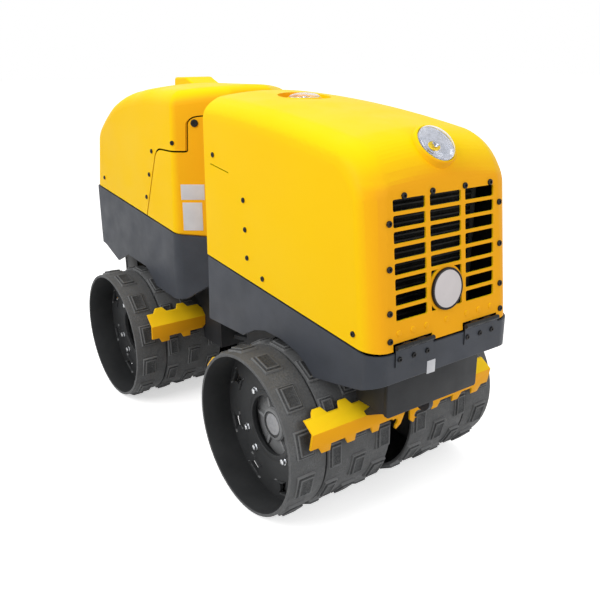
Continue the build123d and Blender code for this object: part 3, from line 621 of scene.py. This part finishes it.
def hoodLeaves(name, nodeName, sign, pinZ, body):
    length = (hinge["outer"] - hinge["inner"] - (hinge["knuckles"] - 1) * hinge["gap"]) / hinge["knuckles"]
    inside, back = sign * 0.9035, sign * 0.8995
    pieces, bores = [], []
    for start in (-hinge["outer"], hinge["inner"]):
        end = start + hinge["outer"] - hinge["inner"]
        low, high = sorted((back, inside))
        pieces.append(addBox("leaf", (low, start, pinZ + 0.003), (high, end, pinZ + 0.043)))
        for index in (1, 3):
            near = start + index * (length + hinge["gap"])
            far = near + length
            pieces.append(addRod("knuckle", hinge["radius"], (sign * hinge["pinX"], near, pinZ),
                                 (sign * hinge["pinX"], far, pinZ), 24, "Y"))
            low, high = sorted((back, sign * hinge["pinX"]))
            pieces.append(addBox("tab", (low, near, pinZ + 0.002),
                                 (high, far, pinZ + hinge["radius"] - 0.0002)))
            bores.append(addRod("bore", hinge["bore"], (sign * hinge["pinX"], near - 0.001, pinZ),
                                (sign * hinge["pinX"], far + 0.001, pinZ), 24, "Y"))
    leaves = joined(pieces, name)
    cutWith(leaves, joined(bores, "bores"))
    smooth(facesOut(leaves), 35)
    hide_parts(nodeName)
    finished(leaves, body, hingePaint)


hoodLeaves("frontHoodHinges", "front_hood_hinge_leaves", 1, hinge["frontZ"], "front_hood")
hoodLeaves("rearHoodHinges", "rear_hood_hinge_leaves", -1, hinge["rearZ"], "rear_hood")
print("hood hinges made")


# Scrapers: bent plates with tabs, cut back from the lugs

axleX = 0.504
scraper = {
    "lugTip": 0.26104, "running": 0.0055, "drumGap": 0.045, "thickness": 0.007,
    "outerSection": [(0.223, 0.407), (0.282, 0.367), (0.267, 0.293), (0.261, 0.264)],
    "innerSection": [(0.243, 0.421), (0.292, 0.369), (0.286, 0.299)],
    "end": [(0.359, 0.026), (0.332, 0.026), (0.318, 0.040), (0.290, 0.040), (0.277, 0.026), (0.237, 0.026),
            (0.227, 0.040), (0.200, 0.040), (0.190, 0.026)],
    "neck": [(0.153, 0.026), (0.107, -0.014), (0.061, -0.033), (0.009, -0.033), (0.019, -0.082),
             (0.035, -0.096), (0.045, -0.088), (0.058, -0.051), (0.109, -0.051), (0.109, -0.074),
             (0.133, -0.074), (0.143, -0.051)],
    "foot": [(0.199, -0.051), (0.199, -0.074), (0.226, -0.074), (0.238, -0.051), (0.288, -0.051),
             (0.288, -0.074), (0.318, -0.074), (0.330, -0.051), (0.359, -0.051)],
    "innerEnd": [(0.146, 0.026), (0.133, 0.012), (0.133, -0.038), (0.146, -0.051)],
    "notch": (0.048, -0.068, 0.013), "armY": 0.158, "armThickness": 0.012, "apronX": 0.862, "edge": 0.0012,
}


def scraperPlate(name, section, side, rows, lift):
    ridgeZ = section[1][1]
    outside = [(axleX + side * away, -0.01, height) for away, height in section]
    inside = [(x - side * scraper["thickness"], y, z) for x, y, z in reversed(outside)]
    plate = pulled(traced(name, outside + inside), (0, 0.40, 0))
    outline = [(0.05, y, ridgeZ + (up + lift if up > 0 else up)) for y, up in rows]
    cutter = pulled(traced("outline", outline), (0.95, 0, 0))
    keptWithin(plate, cutter)
    drumSpace = addRod("drumSpace", scraper["lugTip"] + scraper["running"],
                       (axleX, scraper["drumGap"] - scraper["running"], axleZ),
                       (axleX, 0.5, axleZ), 128, "Y")
    return cutWith(plate, drumSpace)


def makeScrapers(name, nodeName, kind, sign, body):
    if kind == "outer":
        section = scraper["outerSection"]
        rows = scraper["end"] + scraper["neck"] + scraper["foot"]
        plate = scraperPlate(name, section, 1, rows, 0.0)
        ridgeX, ridgeZ = axleX + section[1][0], section[1][1]
        y, up, radius = scraper["notch"]
        cutWith(plate, addRod("notch", radius, (0.05, y, ridgeZ + up), (0.95, y, ridgeZ + up), 32, "X"))
        near, apronX = scraper["armY"], scraper["apronX"]
        arm = traced("arm", [(apronX, near, ridgeZ + 0.098), (apronX, near, ridgeZ + 0.038),
                             (ridgeX - 0.002, near, ridgeZ), (ridgeX - 0.014, near, ridgeZ + 0.008)])
        plate = joined([plate, pulled(arm, (0, scraper["armThickness"], 0))], name)
    else:
        rows = scraper["end"] + scraper["innerEnd"] + scraper["foot"]
        plate = scraperPlate(name, scraper["innerSection"], -1, rows, 0.012)
    bevelEdges(plate, scraper["edge"], 2, 50)
    both = withMirrorImage(plate, name)
    if sign < 0:
        both.data.transform(Matrix.Scale(-1, 4, (1, 0, 0)))
        facesOut(both)
    smooth(both, 30)
    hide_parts(nodeName)
    finished(both, body, scraperPaintAndShade)
    both.data.materials.append(framePaint)
    for face in both.data.polygons:          # the arms to the apron are dark, as the apron is
        if abs(face.center.x) > axleX + scraper["outerSection"][1][0] + 0.002:
            face.material_index = 1


axleZ = (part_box("front_ring_left")[0].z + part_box("front_ring_left")[1].z) / 2
for end, sign in (("front", 1), ("rear", -1)):
    for kind in ("outer", "inner"):
        makeScrapers(f"{end}{kind.title()}Scrapers", f"{end}_scraper_{kind}", kind, sign, f"{end}_chassis")
print("scrapers made")


# Square aprons under the skirts and the raised vent on the rear roof

apron = {"near": 0.8615, "far": 0.8745, "half": 0.178, "foot": 0.396, "top": 0.545, "corner": 0.008,
         "flankBack": (0.745, 0.405), "flankTop": 0.505, "flankNear": 0.168, "flankThickness": 0.008}
for end, sign in (("front", 1), ("rear", -1)):
    low, high = sorted((sign * apron["near"], sign * apron["far"]))
    plate = addBox(end + "Apron", (low, -apron["half"], apron["foot"]),
                   (high, apron["half"], apron["top"]))
    editWith(plate, edgeTest=lambda edge: edge.verts[0].co.z < 0.4 and edge.verts[1].co.z < 0.4
             and abs(edge.verts[0].co.y - edge.verts[1].co.y) < 0.001)
    bpy.ops.mesh.bevel(offset=apron["corner"], segments=3)
    backToObject()
    plates = [plate]
    backX, backZ, topZ = sign * apron["flankBack"][0], apron["flankBack"][1], apron["flankTop"]
    rootX = sign * (apron["near"] + 0.004)
    for side in (-1, 1):         # flanks run back from the apron, their lower edges rising
        near = side * apron["flankNear"]
        flank = traced("flank", [(rootX, near, apron["foot"] + 0.006), (backX, near, backZ),
                                 (backX, near, topZ), (rootX, near, topZ)])
        plates.append(pulled(flank, (0, side * apron["flankThickness"], 0)))
    plate = joined(plates, end + "Apron")
    bevelEdges(plate, 0.0012, 2, 50)
    finished(smooth(plate), f"{end}_chassis", framePaint)

vent = {"side": [(-0.631, 1.190), (-0.620, 1.2525), (-0.525, 1.2545), (-0.432, 1.219), (-0.405, 1.190)],
        "low": -0.001, "high": 0.121, "edge": 0.009}
ventSide = traced("ventTop", [(x, vent["low"], z) for x, z in vent["side"]])
ventTop = pulled(ventSide, (0, vent["high"] - vent["low"], 0))
bevelEdges(ventTop, vent["edge"], 4, 15)
smooth(ventTop, 40)
useModifier(ventTop, "WEIGHTED_NORMAL", keep_sharp=True)
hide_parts("vent_cowl")
finished(ventTop, "rear_hood", hoodPaintAndShade)
print("aprons and vent made")


# Padfoot drums

drum = {
    "rim": 0.249, "bore": 0.239, "lugTop": 0.2592, "lugStep": 0.2535, "lugs": 12, "innerStart": 0.045,
    "innerEnd": 0.282, "ringStart": 0.288, "ringEnd": 0.410, "rimEdge": 0.0022, "rimSides": 120,
    "innerRows": [(0.048, 0.104, 0.0), (0.141, 0.193, 15.0), (0.234, 0.280, 0.0)],
    "ringRows": [(0.328, 0.387, 15.0)],
    "lugHalf": 0.0384, "lugFoot": 0.2432, "lugModelWidth": 0.056,
    "discIn": 0.300, "discOut": 0.310, "holeRadius": 0.095, "slots": 8, "slotRadius": 0.200,
    "slotWidth": 0.036, "slotArc": 19.0, "lipWidth": 0.006, "lipHeight": 0.006,
    "boltPlaces": [(0.116, 131), (0.143, 205), (0.143, 233), (0.116, 310), (0.116, 55), (0.143, 20)],
}


def makeLug():       # stepped pad about the Z axis, its foot inside the rim
    half, wide = drum["lugHalf"], drum["lugModelWidth"] / 2
    lug = addBox("lug", (-half - 0.0012, -wide, drum["lugFoot"]), (half + 0.0012, wide, drum["lugStep"]))
    editWith(lug, faceTest=lambda face: face.normal.z > 0.9)
    bpy.ops.transform.resize(value=(0.965, 0.965, 1))
    rise = drum["lugTop"] - drum["lugStep"]
    for inset, up in [(0.0062, 0.0), (0.0010, rise), (0.0058, 0.0), (0.0012, -0.0014)]:
        bpy.ops.mesh.inset(thickness=inset, use_even_offset=True)
        if up:
            bpy.ops.transform.translate(value=(0, 0, up))
    backToObject()
    bevelEdges(lug, 0.0009, 2, 25)
    return lug


def lugRows(rows, lug, name):
    pads = []
    for start, end, firstAngle in rows:
        wide = Matrix.Scale((end - start) / drum["lugModelWidth"], 4, (0, 1, 0))
        place = Matrix.Translation((0, (start + end) / 2, 0))
        for index in range(drum["lugs"]):
            pads.append(copyOf(lug, name, turnOf(index, drum["lugs"], firstAngle) @ place @ wide))
    return joined(pads, name)


def rimTube(name, start, end):
    rim = addRod(name, drum["rim"], (0, start, 0), (0, end, 0), drum["rimSides"], "Y", "NOTHING")
    useModifier(rim, "SOLIDIFY", thickness=drum["rim"] - drum["bore"], offset=-1)
    return bevelEdges(rim, drum["rimEdge"], 2, 40)


def kidney(name, width, low, high):      # a slot's outline as a closed block along the axle
    deselectAll()
    half = math.radians(drum["slotArc"] / 2)
    bpy.ops.mesh.primitive_circle_add(vertices=20, radius=width / 2, fill_type="NGON",
                                      location=(drum["slotRadius"] * math.cos(half), low,
                                                drum["slotRadius"] * math.sin(half)),
                                      rotation=(math.pi / 2, 0, 0))
    block = settle(called(name))
    side = Vector((-math.sin(half), 0, math.cos(half)))
    start = Vector((drum["slotRadius"] * math.cos(half), low, drum["slotRadius"] * math.sin(half)))
    editWith(block, edgeTest=lambda edge: ((edge.verts[0].co + edge.verts[1].co) / 2 - start).dot(side) < 0)
    bpy.ops.mesh.spin(steps=8, angle=math.radians(drum["slotArc"]), center=(0, 0, 0), axis=(0, 1, 0))
    bpy.ops.mesh.select_all(action="SELECT")
    bpy.ops.mesh.remove_doubles(threshold=0.0001)
    bpy.ops.mesh.dissolve_limited(angle_limit=math.radians(1))
    bpy.ops.mesh.select_all(action="SELECT")
    bpy.ops.mesh.extrude_region_move(TRANSFORM_OT_translate={"value": (0, high - low, 0)})
    backToObject()
    return facesOut(block)


def ringDisc(name):
    disc = addRod(name, drum["bore"] + 0.001, (0, drum["discIn"], 0), (0, drum["discOut"], 0), 96, "Y")
    flange = addRod("flange", drum["holeRadius"] + 0.016, (0, drum["discOut"] - 0.001, 0),
                    (0, drum["discOut"] + 0.004, 0), 64, "Y")
    bevelEdges(flange, 0.002, 2)
    lips, cutters = [], []
    lip = kidney("lip", drum["slotWidth"] + 2 * drum["lipWidth"], drum["discOut"] - 0.001,
                 drum["discOut"] + drum["lipHeight"])
    bevelEdges(lip, 0.002, 2, 60)
    cutter = kidney("cutter", drum["slotWidth"], drum["discIn"] - 0.03, drum["discOut"] + 0.05)
    for index in range(drum["slots"]):
        turn = turnOf(index, drum["slots"])
        lips.append(copyOf(lip, "lip", turn))
        cutters.append(copyOf(cutter, "cutter", turn))
    cutters.append(addRod("hole", drum["holeRadius"], (0, drum["discIn"] - 0.03, 0),
                          (0, drum["discOut"] + 0.05, 0), 64, "Y"))
    for spare in (lip, cutter):
        bpy.data.objects.remove(spare)
    disc = joined([disc, flange] + lips, name)
    cutWith(disc, joined(cutters, "cutters"))
    spacer = addRod("spacer", 0.150, (0, drum["innerEnd"], 0), (0, drum["discIn"] + 0.001, 0), 72, "Y",
                    "NOTHING")
    useModifier(spacer, "SOLIDIFY", thickness=0.038, offset=-1)
    return joined([disc, spacer], name)


hub = {"bossRadius": 0.052, "tubeRadius": 0.070, "shaft": 0.034, "ribs": 6, "ribReach": 0.105}


def hubParts(name):
    web = addRod(name, drum["bore"] + 0.001, (0, 0.272, 0), (0, drum["innerEnd"], 0), 96, "Y", "NGON")
    tube = addRod("tube", hub["tubeRadius"], (0, drum["innerStart"], 0), (0, 0.274, 0), 48, "Y", "NOTHING")
    useModifier(tube, "SOLIDIFY", thickness=hub["tubeRadius"] - hub["shaft"] - 0.0005, offset=-1)
    boss = addRod("boss", hub["bossRadius"], (0, 0.281, 0), (0, 0.300, 0), 48, "Y")
    bevelEdges(boss, 0.003, 2)
    editWith(boss, faceTest=lambda face: face.normal.y > 0.9)
    for inset, depth in ((0.010, 0.0), (0.002, -0.004), (0.012, 0.0), (0.002, 0.003)):
        bpy.ops.mesh.inset(thickness=inset, use_even_offset=True)
        if depth:
            bpy.ops.transform.translate(value=(0, depth, 0))
    backToObject()
    ribs = []
    for index in range(hub["ribs"]):
        rib = addBox("rib", (0.050, 0.281, -0.005), (hub["ribReach"], 0.293, 0.005))
        editWith(rib, faceTest=lambda face: face.normal.x > 0.9)
        bpy.ops.transform.resize(value=(1, 0.5, 1), center_override=(hub["ribReach"], 0.281, 0))
        backToObject()
        rib.data.transform(turnOf(index, hub["ribs"]))
        ribs.append(rib)
    return joined([web, tube, boss] + ribs, name)


def hexBolt(across, height, washer):     # stands on z = 0, head up
    plate = addRod("washer", washer, (0, 0, -0.0008), (0, 0, 0.0022), 24)
    bevelEdges(plate, 0.0006, 1)
    head = addRod("head", across / 2 / math.cos(math.radians(30)), (0, 0, 0.0015), (0, 0, height), 6)
    bevelEdges(head, 0.0008, 1, 70)
    editWith(head, faceTest=lambda face: face.normal.z > 0.9)
    bpy.ops.mesh.inset(thickness=across * 0.12)
    bpy.ops.transform.translate(value=(0, 0, 0.0008))
    backToObject()
    return joined([head, plate], "bolt")


def addScrews(name, radius, height, spots, body):         # low round heads with a hexagon socket
    head = addRod("head", radius, (0, 0, -0.0010), (0, 0, height), 24)
    bevelEdges(head, height * 0.45, 2)
    socket = addRod("socket", radius * 0.45, (0, 0, height * 0.35), (0, 0, height + 0.01), 6)
    finished(spread(cutWith(head, socket), spots, name), body, darkScrew)


lugModel = makeLug()
modelRing = joined([rimTube("ring", drum["ringStart"], drum["ringEnd"]), ringDisc("disc"),
                    lugRows(drum["ringRows"], lugModel, "pads")], "ringModel")
modelDrum = joined([rimTube("rim", drum["innerStart"], drum["innerEnd"]), hubParts("hub"),
                    lugRows(drum["innerRows"], lugModel, "pads")], "drumModel")
discBoltPlaces = []
for radius, angle in drum["boltPlaces"]:
    across, up = radius * math.cos(math.radians(angle)), radius * math.sin(math.radians(angle))
    discBoltPlaces.append(((across, drum["discOut"], up), (0, 1, 0)))
discBoltModel = spread(hexBolt(0.017, 0.011, 0.0125), discBoltPlaces, "discBoltModel")
bpy.data.objects.remove(lugModel)
for model in (modelRing, modelDrum, discBoltModel):
    smooth(facesOut(model), 32)
for end, sign in (("front", 1), ("rear", -1)):
    for hand, side in (("left", 1), ("right", -1)):
        place = Matrix.Translation((sign * axleX, 0, axleZ)) @ Matrix.Scale(side, 4, (0, 1, 0))
        ring = copyOf(modelRing, f"{end}Ring{hand.title()}", place)
        inner = copyOf(modelDrum, f"{end}Drum{hand.title()}", place)
        bolts = copyOf(discBoltModel, f"{end}DiscBolts{hand.title()}", place)
        for piece in (ring, inner, bolts):
            smooth(facesOut(piece), 32)
        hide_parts(f"{end}_ring_{hand}")
        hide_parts(f"{end}_drum_{hand}")
        finished(ring, f"{end}_axle", castIron)
        ring.data.materials.append(ringInside)
        for face in ring.data.polygons:
            # inside the bore the ring gets the darker paint, but the lips' sides keep the lighter cast iron
            # as a painted highlight round the slots
            onLip = abs(face.center.y) > drum["discOut"] + 0.0002 and abs(face.normal.y) < 0.9
            away = math.hypot(face.center.x - sign * axleX, face.center.z - axleZ)
            if away < drum["bore"] + 0.0005 and not (onLip and away < drum["bore"] - 0.01):
                face.material_index = 1
        finished(inner, f"{end}_axle", castIron)
        finished(bolts, f"{end}_axle", zinc)
for model in (modelRing, modelDrum, discBoltModel):
    bpy.data.objects.remove(model)
print("drums made")


# Lamps: clear dome, mirror bowl and bulb in each ring

lamp = {"radius": 0.0500, "seat": 0.004, "edge": 0.009, "rise": 0.0200, "wall": 0.0018, "ring": 0.0065,
        "sink": 0.020, "bowlSides": 28,
        "bowlRings": [(0.0485, 0.0085), (0.040, 0.0045), (0.028, 0.0012), (0.013, -0.0008)]}


def lampPlace(nodeName, near, tilt):     # the seat's centre, found in the frame, and the way the lamp looks
    look = Vector((math.cos(math.radians(tilt)), 0, math.sin(math.radians(tilt))))
    across = Vector((-look.z, 0, look.x))
    points = [v.co for v in nodes[nodeName].data.vertices if abs(v.co.x - near) < 0.12]
    low = min(point.dot(look) for point in points) - 0.004
    sides = [point.dot(across) for point in points]
    middle = (min(sides) + max(sides)) / 2
    return look * low + across * middle, look


def domeModel():
    deselectAll()
    bpy.ops.mesh.primitive_uv_sphere_add(segments=48, ring_count=24, radius=lamp["radius"])
    dome = called("dome")
    dome.scale = (1, 1, lamp["rise"] / lamp["radius"])
    editAll(settle(dome))
    bpy.ops.mesh.bisect(plane_co=(0, 0, 0.00001), plane_no=(0, 0, 1), clear_inner=True, use_fill=False)
    editWith(dome, edgeTest=lambda edge: edge.is_boundary)
    bpy.ops.mesh.extrude_region_move(TRANSFORM_OT_translate={"value": (0, 0, lamp["seat"] - lamp["edge"])})
    bpy.ops.mesh.select_all(action="SELECT")
    bpy.ops.mesh.normals_make_consistent(inside=False)
    backToObject()
    dome.data.transform(Matrix.Translation((0, 0, lamp["edge"])))
    useModifier(dome, "SOLIDIFY", thickness=lamp["wall"], offset=-1)
    return smooth(dome, 60)


def bowlModel():
    bowl = addRod("bowl", lamp["bowlRings"][0][0], (0, 0, -0.004), (0, 0, lamp["bowlRings"][0][1]),
                  lamp["bowlSides"])
    editWith(bowl, faceTest=lambda face: face.normal.z > 0.9)
    for (near, high), (radius, low) in zip(lamp["bowlRings"], lamp["bowlRings"][1:]):
        bpy.ops.mesh.inset(thickness=(near - radius) * math.cos(math.pi / lamp["bowlSides"]))
        bpy.ops.transform.translate(value=(0, 0, low - high))
    backToObject()
    bulb = addRod("bulb", 0.008, (0, 0, 0.002), (0, 0, 0.014), 16)
    bevelEdges(bulb, 0.003, 3)
    return joined([bowl, bulb], "bowl")


def lampRing():      # thin painted ring from inside the hood to the lens's edge
    inner, outer, foot = lamp["radius"] + 0.0004, lamp["radius"] + lamp["ring"], -lamp["sink"]
    ring = turned("ring", [(inner, foot), (outer, foot), (outer, 0.0065), (outer - 0.003, 0.0095),
                           (inner, 0.0095), (inner, foot)], 64)
    return smooth(ring, 50)


# name, node, about where along the machine, its tilt, the body, its size, and how flat it is
lampRows = [("frontLamp", "front_lamp_lenses", 0.83, 45.0, "front_hood", 1.12, 1.0),
            ("topLamp", "front_lamp_lenses", 0.27, 90.0, "front_hood", 0.97, 0.72),
            ("rearLamp", "rear_lamp_lens", -0.80, None, "rear_hood", 1.0, 1.0)]
rings = {"front_hood": [], "rear_hood": []}
for name, nodeName, near, tilt, body, size, flat in lampRows:
    if tilt is None:     # the rear lamp looks square off the rounded top
        run = near - roof["curveFrom"]
        tilt = math.degrees(math.atan2(math.sqrt(roof["curveRadius"] ** 2 - run ** 2), run))
    place, look = lampPlace(nodeName, near, tilt)
    parts = []
    for model in (domeModel(), bowlModel(), lampRing()):
        model.data.transform(Matrix.Diagonal((size, size, size * flat, 1)))
        parts.append(spread(model, [(place, look)], name + model.name.title()))
    finished(parts[0], body, clearGlass)
    finished(parts[1], body, mirrorBowl)
    rings[body].append(parts[2])
    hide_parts(nodeName)
for end in ("front", "rear"):
    ringPiece = joined(rings[f"{end}_hood"], end + "LampRings")
    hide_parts("front_lamp_rings" if end == "front" else "rear_lamp_ring")
    finished(ringPiece, f"{end}_hood", hoodPaintAndShade)
print("lamps made")


# Screws, rivets, plates and other small fittings

sideScrews = {"front": [(0.143, 1.034), (0.32, 0.917), (0.328, 0.829), (0.337, 0.743), (0.421, 0.697),
                        (0.837, 0.652)],
              "rear": [(-0.161, 1.044), (-0.324, 1.002), (-0.353, 0.914), (-0.385, 0.826),
                       (-0.808, 0.848)]}
for end, places in sideScrews.items():
    hood = bodywork[f"{end}_hood"]
    spots = [surfaceAt(hood, (x, side, z), (0, -side, 0)) for x, z in places for side in (-1, 1)]
    addScrews(end + "SideScrews", 0.0082, 0.0045, spots, f"{end}_hood")
    washer = addRod("washer", 0.0105, (0, 0, -0.0006), (0, 0, 0.0009), 24)
    finished(spread(washer, spots, end + "SideWashers"), f"{end}_hood", hoodPaintAndShade)


grilleScrews = [(-0.148, 0.377), (-0.049, 0.378), (0.071, 0.379), (0.170, 0.378),
                (-0.200, 0.314), (-0.204, 0.202), (-0.208, 0.090), (-0.210, 0.018),
                (0.208, 0.321), (0.210, 0.206), (0.212, 0.092), (0.214, 0.018)]
spots = [(onEndFace(y, up), faceOut) for y, up in grilleScrews]
addScrews("grilleScrews", 0.0085, 0.005, spots, "front_hood")
rivetSpots = [-0.178, -0.129, -0.080, -0.004, 0.074, 0.123, 0.173]
rivet = addRod("rivet", 0.0085, (0, 0, -0.001), (0, 0, 0.0022), 20)
bevelEdges(rivet, 0.002, 2)
spots = [(onEndFace(y, 0.033), faceOut) for y in rivetSpots]
finished(smooth(spread(rivet, spots, "lowerRivets")), "front_hood", hoodPaintAndShade)

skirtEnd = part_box("front_tub")[1].x
hingeScrews = [-0.183, -0.133, -0.084, 0.072, 0.123, 0.172]
for name, sign, height, body in (("hingeScrews", 1, 0.588, "front_chassis"),
                                 ("rearHingeScrews", -1, 0.793, "rear_chassis")):
    spots = [((sign * (skirtEnd + 0.004), y, height), (sign, 0, 0)) for y in hingeScrews]
    addScrews(name, 0.0075, 0.0045, spots, body)


def blankPlateAt(name, place, normal, width, height, thickness, body):
    plate = addBox("plate", (-width / 2, -height / 2, -0.0004), (width / 2, height / 2, thickness))
    bevelEdges(plate, 0.004, 3, 60)
    return finished(smooth(spread(plate, [(place, normal)], name)), body, blankPlate)


blankPlateAt("skirtPlate", (skirtEnd, -0.062, 0.535), (1, 0, 0), 0.031, 0.037, 0.0012, "front_chassis")
cheekOut = Vector((0.064, -0.054, 0)).normalized()


def onCheek(x, y, z):
    return surfaceAt(bodywork["rear_cowl"], Vector((x, y, z)) + cheekOut * 0.2, -cheekOut)


blankPlateAt("cheekPlateUpper", *onCheek(-0.102, -0.217, 0.8755), 0.084, 0.054, 0.0008, "rear_chassis")
blankPlateAt("cheekPlateLower", *onCheek(-0.105, -0.219, 0.7890), 0.070, 0.100, 0.0008, "rear_chassis")
addScrews("cheekLatch", 0.013, 0.005, [onCheek(-0.091, -0.204, 1.111)], "rear_chassis")
print("fittings placed")


# Grille badge, left plain

badge = {"radius": 0.057, "thickness": 0.008}
disc = addRod("disc", badge["radius"], (0, 0, -0.001), (0, 0, badge["thickness"]), 64)
bevelEdges(disc, 0.002, 2)
editWith(disc, faceTest=lambda face: face.normal.z > 0.99 and face.calc_area() > 0.001)
bpy.ops.mesh.inset(thickness=0.004, use_even_offset=True)
bpy.ops.transform.translate(value=(0, 0, -0.0015))
backToObject()
plainFace = addRod("face", badge["radius"] - 0.0062, (0, 0, badge["thickness"] - 0.003),
                   (0, 0, badge["thickness"] - 0.0006), 64)
bevelEdges(plainFace, 0.0008, 2)
badgeSpot = [(onEndFace(grille["badgeY"], grille["badgeUp"]), faceOut)]
rimPiece = smooth(spread(disc, badgeSpot, "badgeRim"))
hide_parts("grille_badge")
finished(rimPiece, "front_hood", darkScrew)
plainFace = smooth(spread(plainFace, badgeSpot, "badgeFace"))
finished(plainFace, "front_hood", badgeFace)


# Radiator core behind the grille

low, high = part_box("radiator")
core = {"fins": 62, "fin": 0.0012, "tubes": 26, "depth": 0.006}
frameBox = addBox("radiatorFrame", (low.x, low.y, low.z), (high.x - core["depth"], high.y, high.z))
bevelEdges(frameBox, 0.003, 2)
editWith(frameBox, faceTest=lambda face: face.normal.x > 0.99)
bpy.ops.mesh.inset(thickness=0.018, use_even_offset=True)
bpy.ops.transform.translate(value=(-0.006, 0, 0))
backToObject()
tube = addBox("tube", (high.x - core["depth"] - 0.008, low.y + 0.018, low.z + 0.022),
              (high.x - core["depth"] + 0.003, high.y - 0.018, low.z + 0.026))
useModifier(tube, "ARRAY", count=core["tubes"], use_relative_offset=False, use_constant_offset=True,
            constant_offset_displace=(0, 0, (high.z - low.z - 0.048) / (core["tubes"] - 1)))
fin = addBox("fin", (high.x - core["depth"] - 0.008, low.y + 0.020, low.z + 0.018),
             (high.x - core["depth"], low.y + 0.020 + core["fin"], high.z - 0.018))
useModifier(fin, "ARRAY", count=core["fins"], use_relative_offset=False, use_constant_offset=True,
            constant_offset_displace=(0, (high.y - low.y - 0.0412) / (core["fins"] - 1), 0))
radiator = joined([frameBox, tube, fin], "radiatorCore")
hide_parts("radiator")
finished(radiator, "front_chassis", blackCore)
print("badge and radiator made")


# Stage: pale floor, soft lights and the photograph's camera

photoView = {"place": (2.088, -1.344, 1.303), "azimuth": 54.0, "elevation": 18.77, "roll": -0.44,
             "lens": 41.82}
lights = [       # name, place, aim, size, watts
    ("key", (0.6, -3.6, 3.4), (0.1, 0, 0.6), 2.6, 94.0),
    ("overhead", (-0.4, 0.3, 4.2), (0, 0, 0.6), 3.0, 20.0),
    ("front", (4.4, 0.6, 2.0), (0.4, 0, 0.6), 2.4, 40.0),
]


def addCamera(view):
    azimuth, elevation, roll = (math.radians(view[key]) for key in ("azimuth", "elevation", "roll"))
    back = Vector((math.sin(azimuth) * math.cos(elevation), -math.cos(azimuth) * math.cos(elevation),
                   math.sin(elevation)))
    level = Vector((math.cos(azimuth), math.sin(azimuth), 0))
    upright = back.cross(level)
    right = level * math.cos(roll) + upright * math.sin(roll)
    top = upright * math.cos(roll) - level * math.sin(roll)
    data = bpy.data.cameras.new("photoCamera")
    data.sensor_width = 36
    data.lens = view["lens"]
    data.clip_end = 200
    camera = bpy.data.objects.new("photoCamera", data)
    bpy.context.scene.collection.objects.link(camera)
    turn = Matrix((right, top, back)).transposed().to_4x4()
    camera.matrix_world = Matrix.Translation(view["place"]) @ turn
    bpy.context.scene.camera = camera


def addLight(name, place, aim, size, watts):
    data = bpy.data.lights.new(name, "AREA")
    data.shape = "DISK"
    data.size = size
    data.energy = watts
    light = bpy.data.objects.new(name, data)
    bpy.context.scene.collection.objects.link(light)
    light.location = place
    light.rotation_euler = (Vector(aim) - Vector(place)).to_track_quat("-Z", "Y").to_euler()


def directRays(tree):        # 1 for camera, glossy and transmission rays
    path = tree.nodes.new("ShaderNodeLightPath")
    total = path.outputs["Is Camera Ray"]
    for output in ("Is Glossy Ray", "Is Transmission Ray"):
        add = tree.nodes.new("ShaderNodeMath")
        add.operation = "MAXIMUM"
        tree.links.new(total, add.inputs[0])
        tree.links.new(path.outputs[output], add.inputs[1])
        total = add.outputs[0]
    return total


def whiteWorld(level):
    world = bpy.data.worlds.new("whiteRoom")
    bpy.context.scene.world = world
    world.use_nodes = True
    tree = world.node_tree
    strength = tree.nodes.new("ShaderNodeMapRange")
    strength.inputs[3].default_value = level
    strength.inputs[4].default_value = 1.0
    tree.links.new(directRays(tree), strength.inputs[0])
    tree.nodes["Background"].inputs["Color"].default_value = (1, 1, 1, 1)
    tree.links.new(strength.outputs[0], tree.nodes["Background"].inputs["Strength"])


def whiteFloor(glow, albedo):
    deselectAll()
    bpy.ops.mesh.primitive_plane_add(size=120, location=(0, 0, 0))
    floor = settle(called("floor"))
    material = bpy.data.materials.new("paleFloor")
    material.use_nodes = True
    tree = material.node_tree
    tree.nodes.clear()
    plain = tree.nodes.new("ShaderNodeBsdfDiffuse")
    plain.inputs["Color"].default_value = (0.62, 0.62, 0.62, 1)
    shadowed = tree.nodes.new("ShaderNodeBsdfDiffuse")
    shadowed.inputs["Color"].default_value = (albedo, albedo, albedo, 1)
    shine = tree.nodes.new("ShaderNodeEmission")
    shine.inputs["Strength"].default_value = glow
    add = tree.nodes.new("ShaderNodeAddShader")
    mix = tree.nodes.new("ShaderNodeMixShader")
    output = tree.nodes.new("ShaderNodeOutputMaterial")
    tree.links.new(shadowed.outputs[0], add.inputs[0])
    tree.links.new(shine.outputs[0], add.inputs[1])
    tree.links.new(directRays(tree), mix.inputs[0])
    tree.links.new(plain.outputs[0], mix.inputs[1])
    tree.links.new(add.outputs[0], mix.inputs[2])
    tree.links.new(mix.outputs[0], output.inputs["Surface"])
    floor.data.materials.append(material)


addCamera(photoView)
for row in lights:
    addLight(*row)
whiteWorld(0.62)
whiteFloor(0.56, 1.0)
bpy.context.scene.view_settings.view_transform = "Standard"
print("stage set")

bpy.context.view_layer.update()
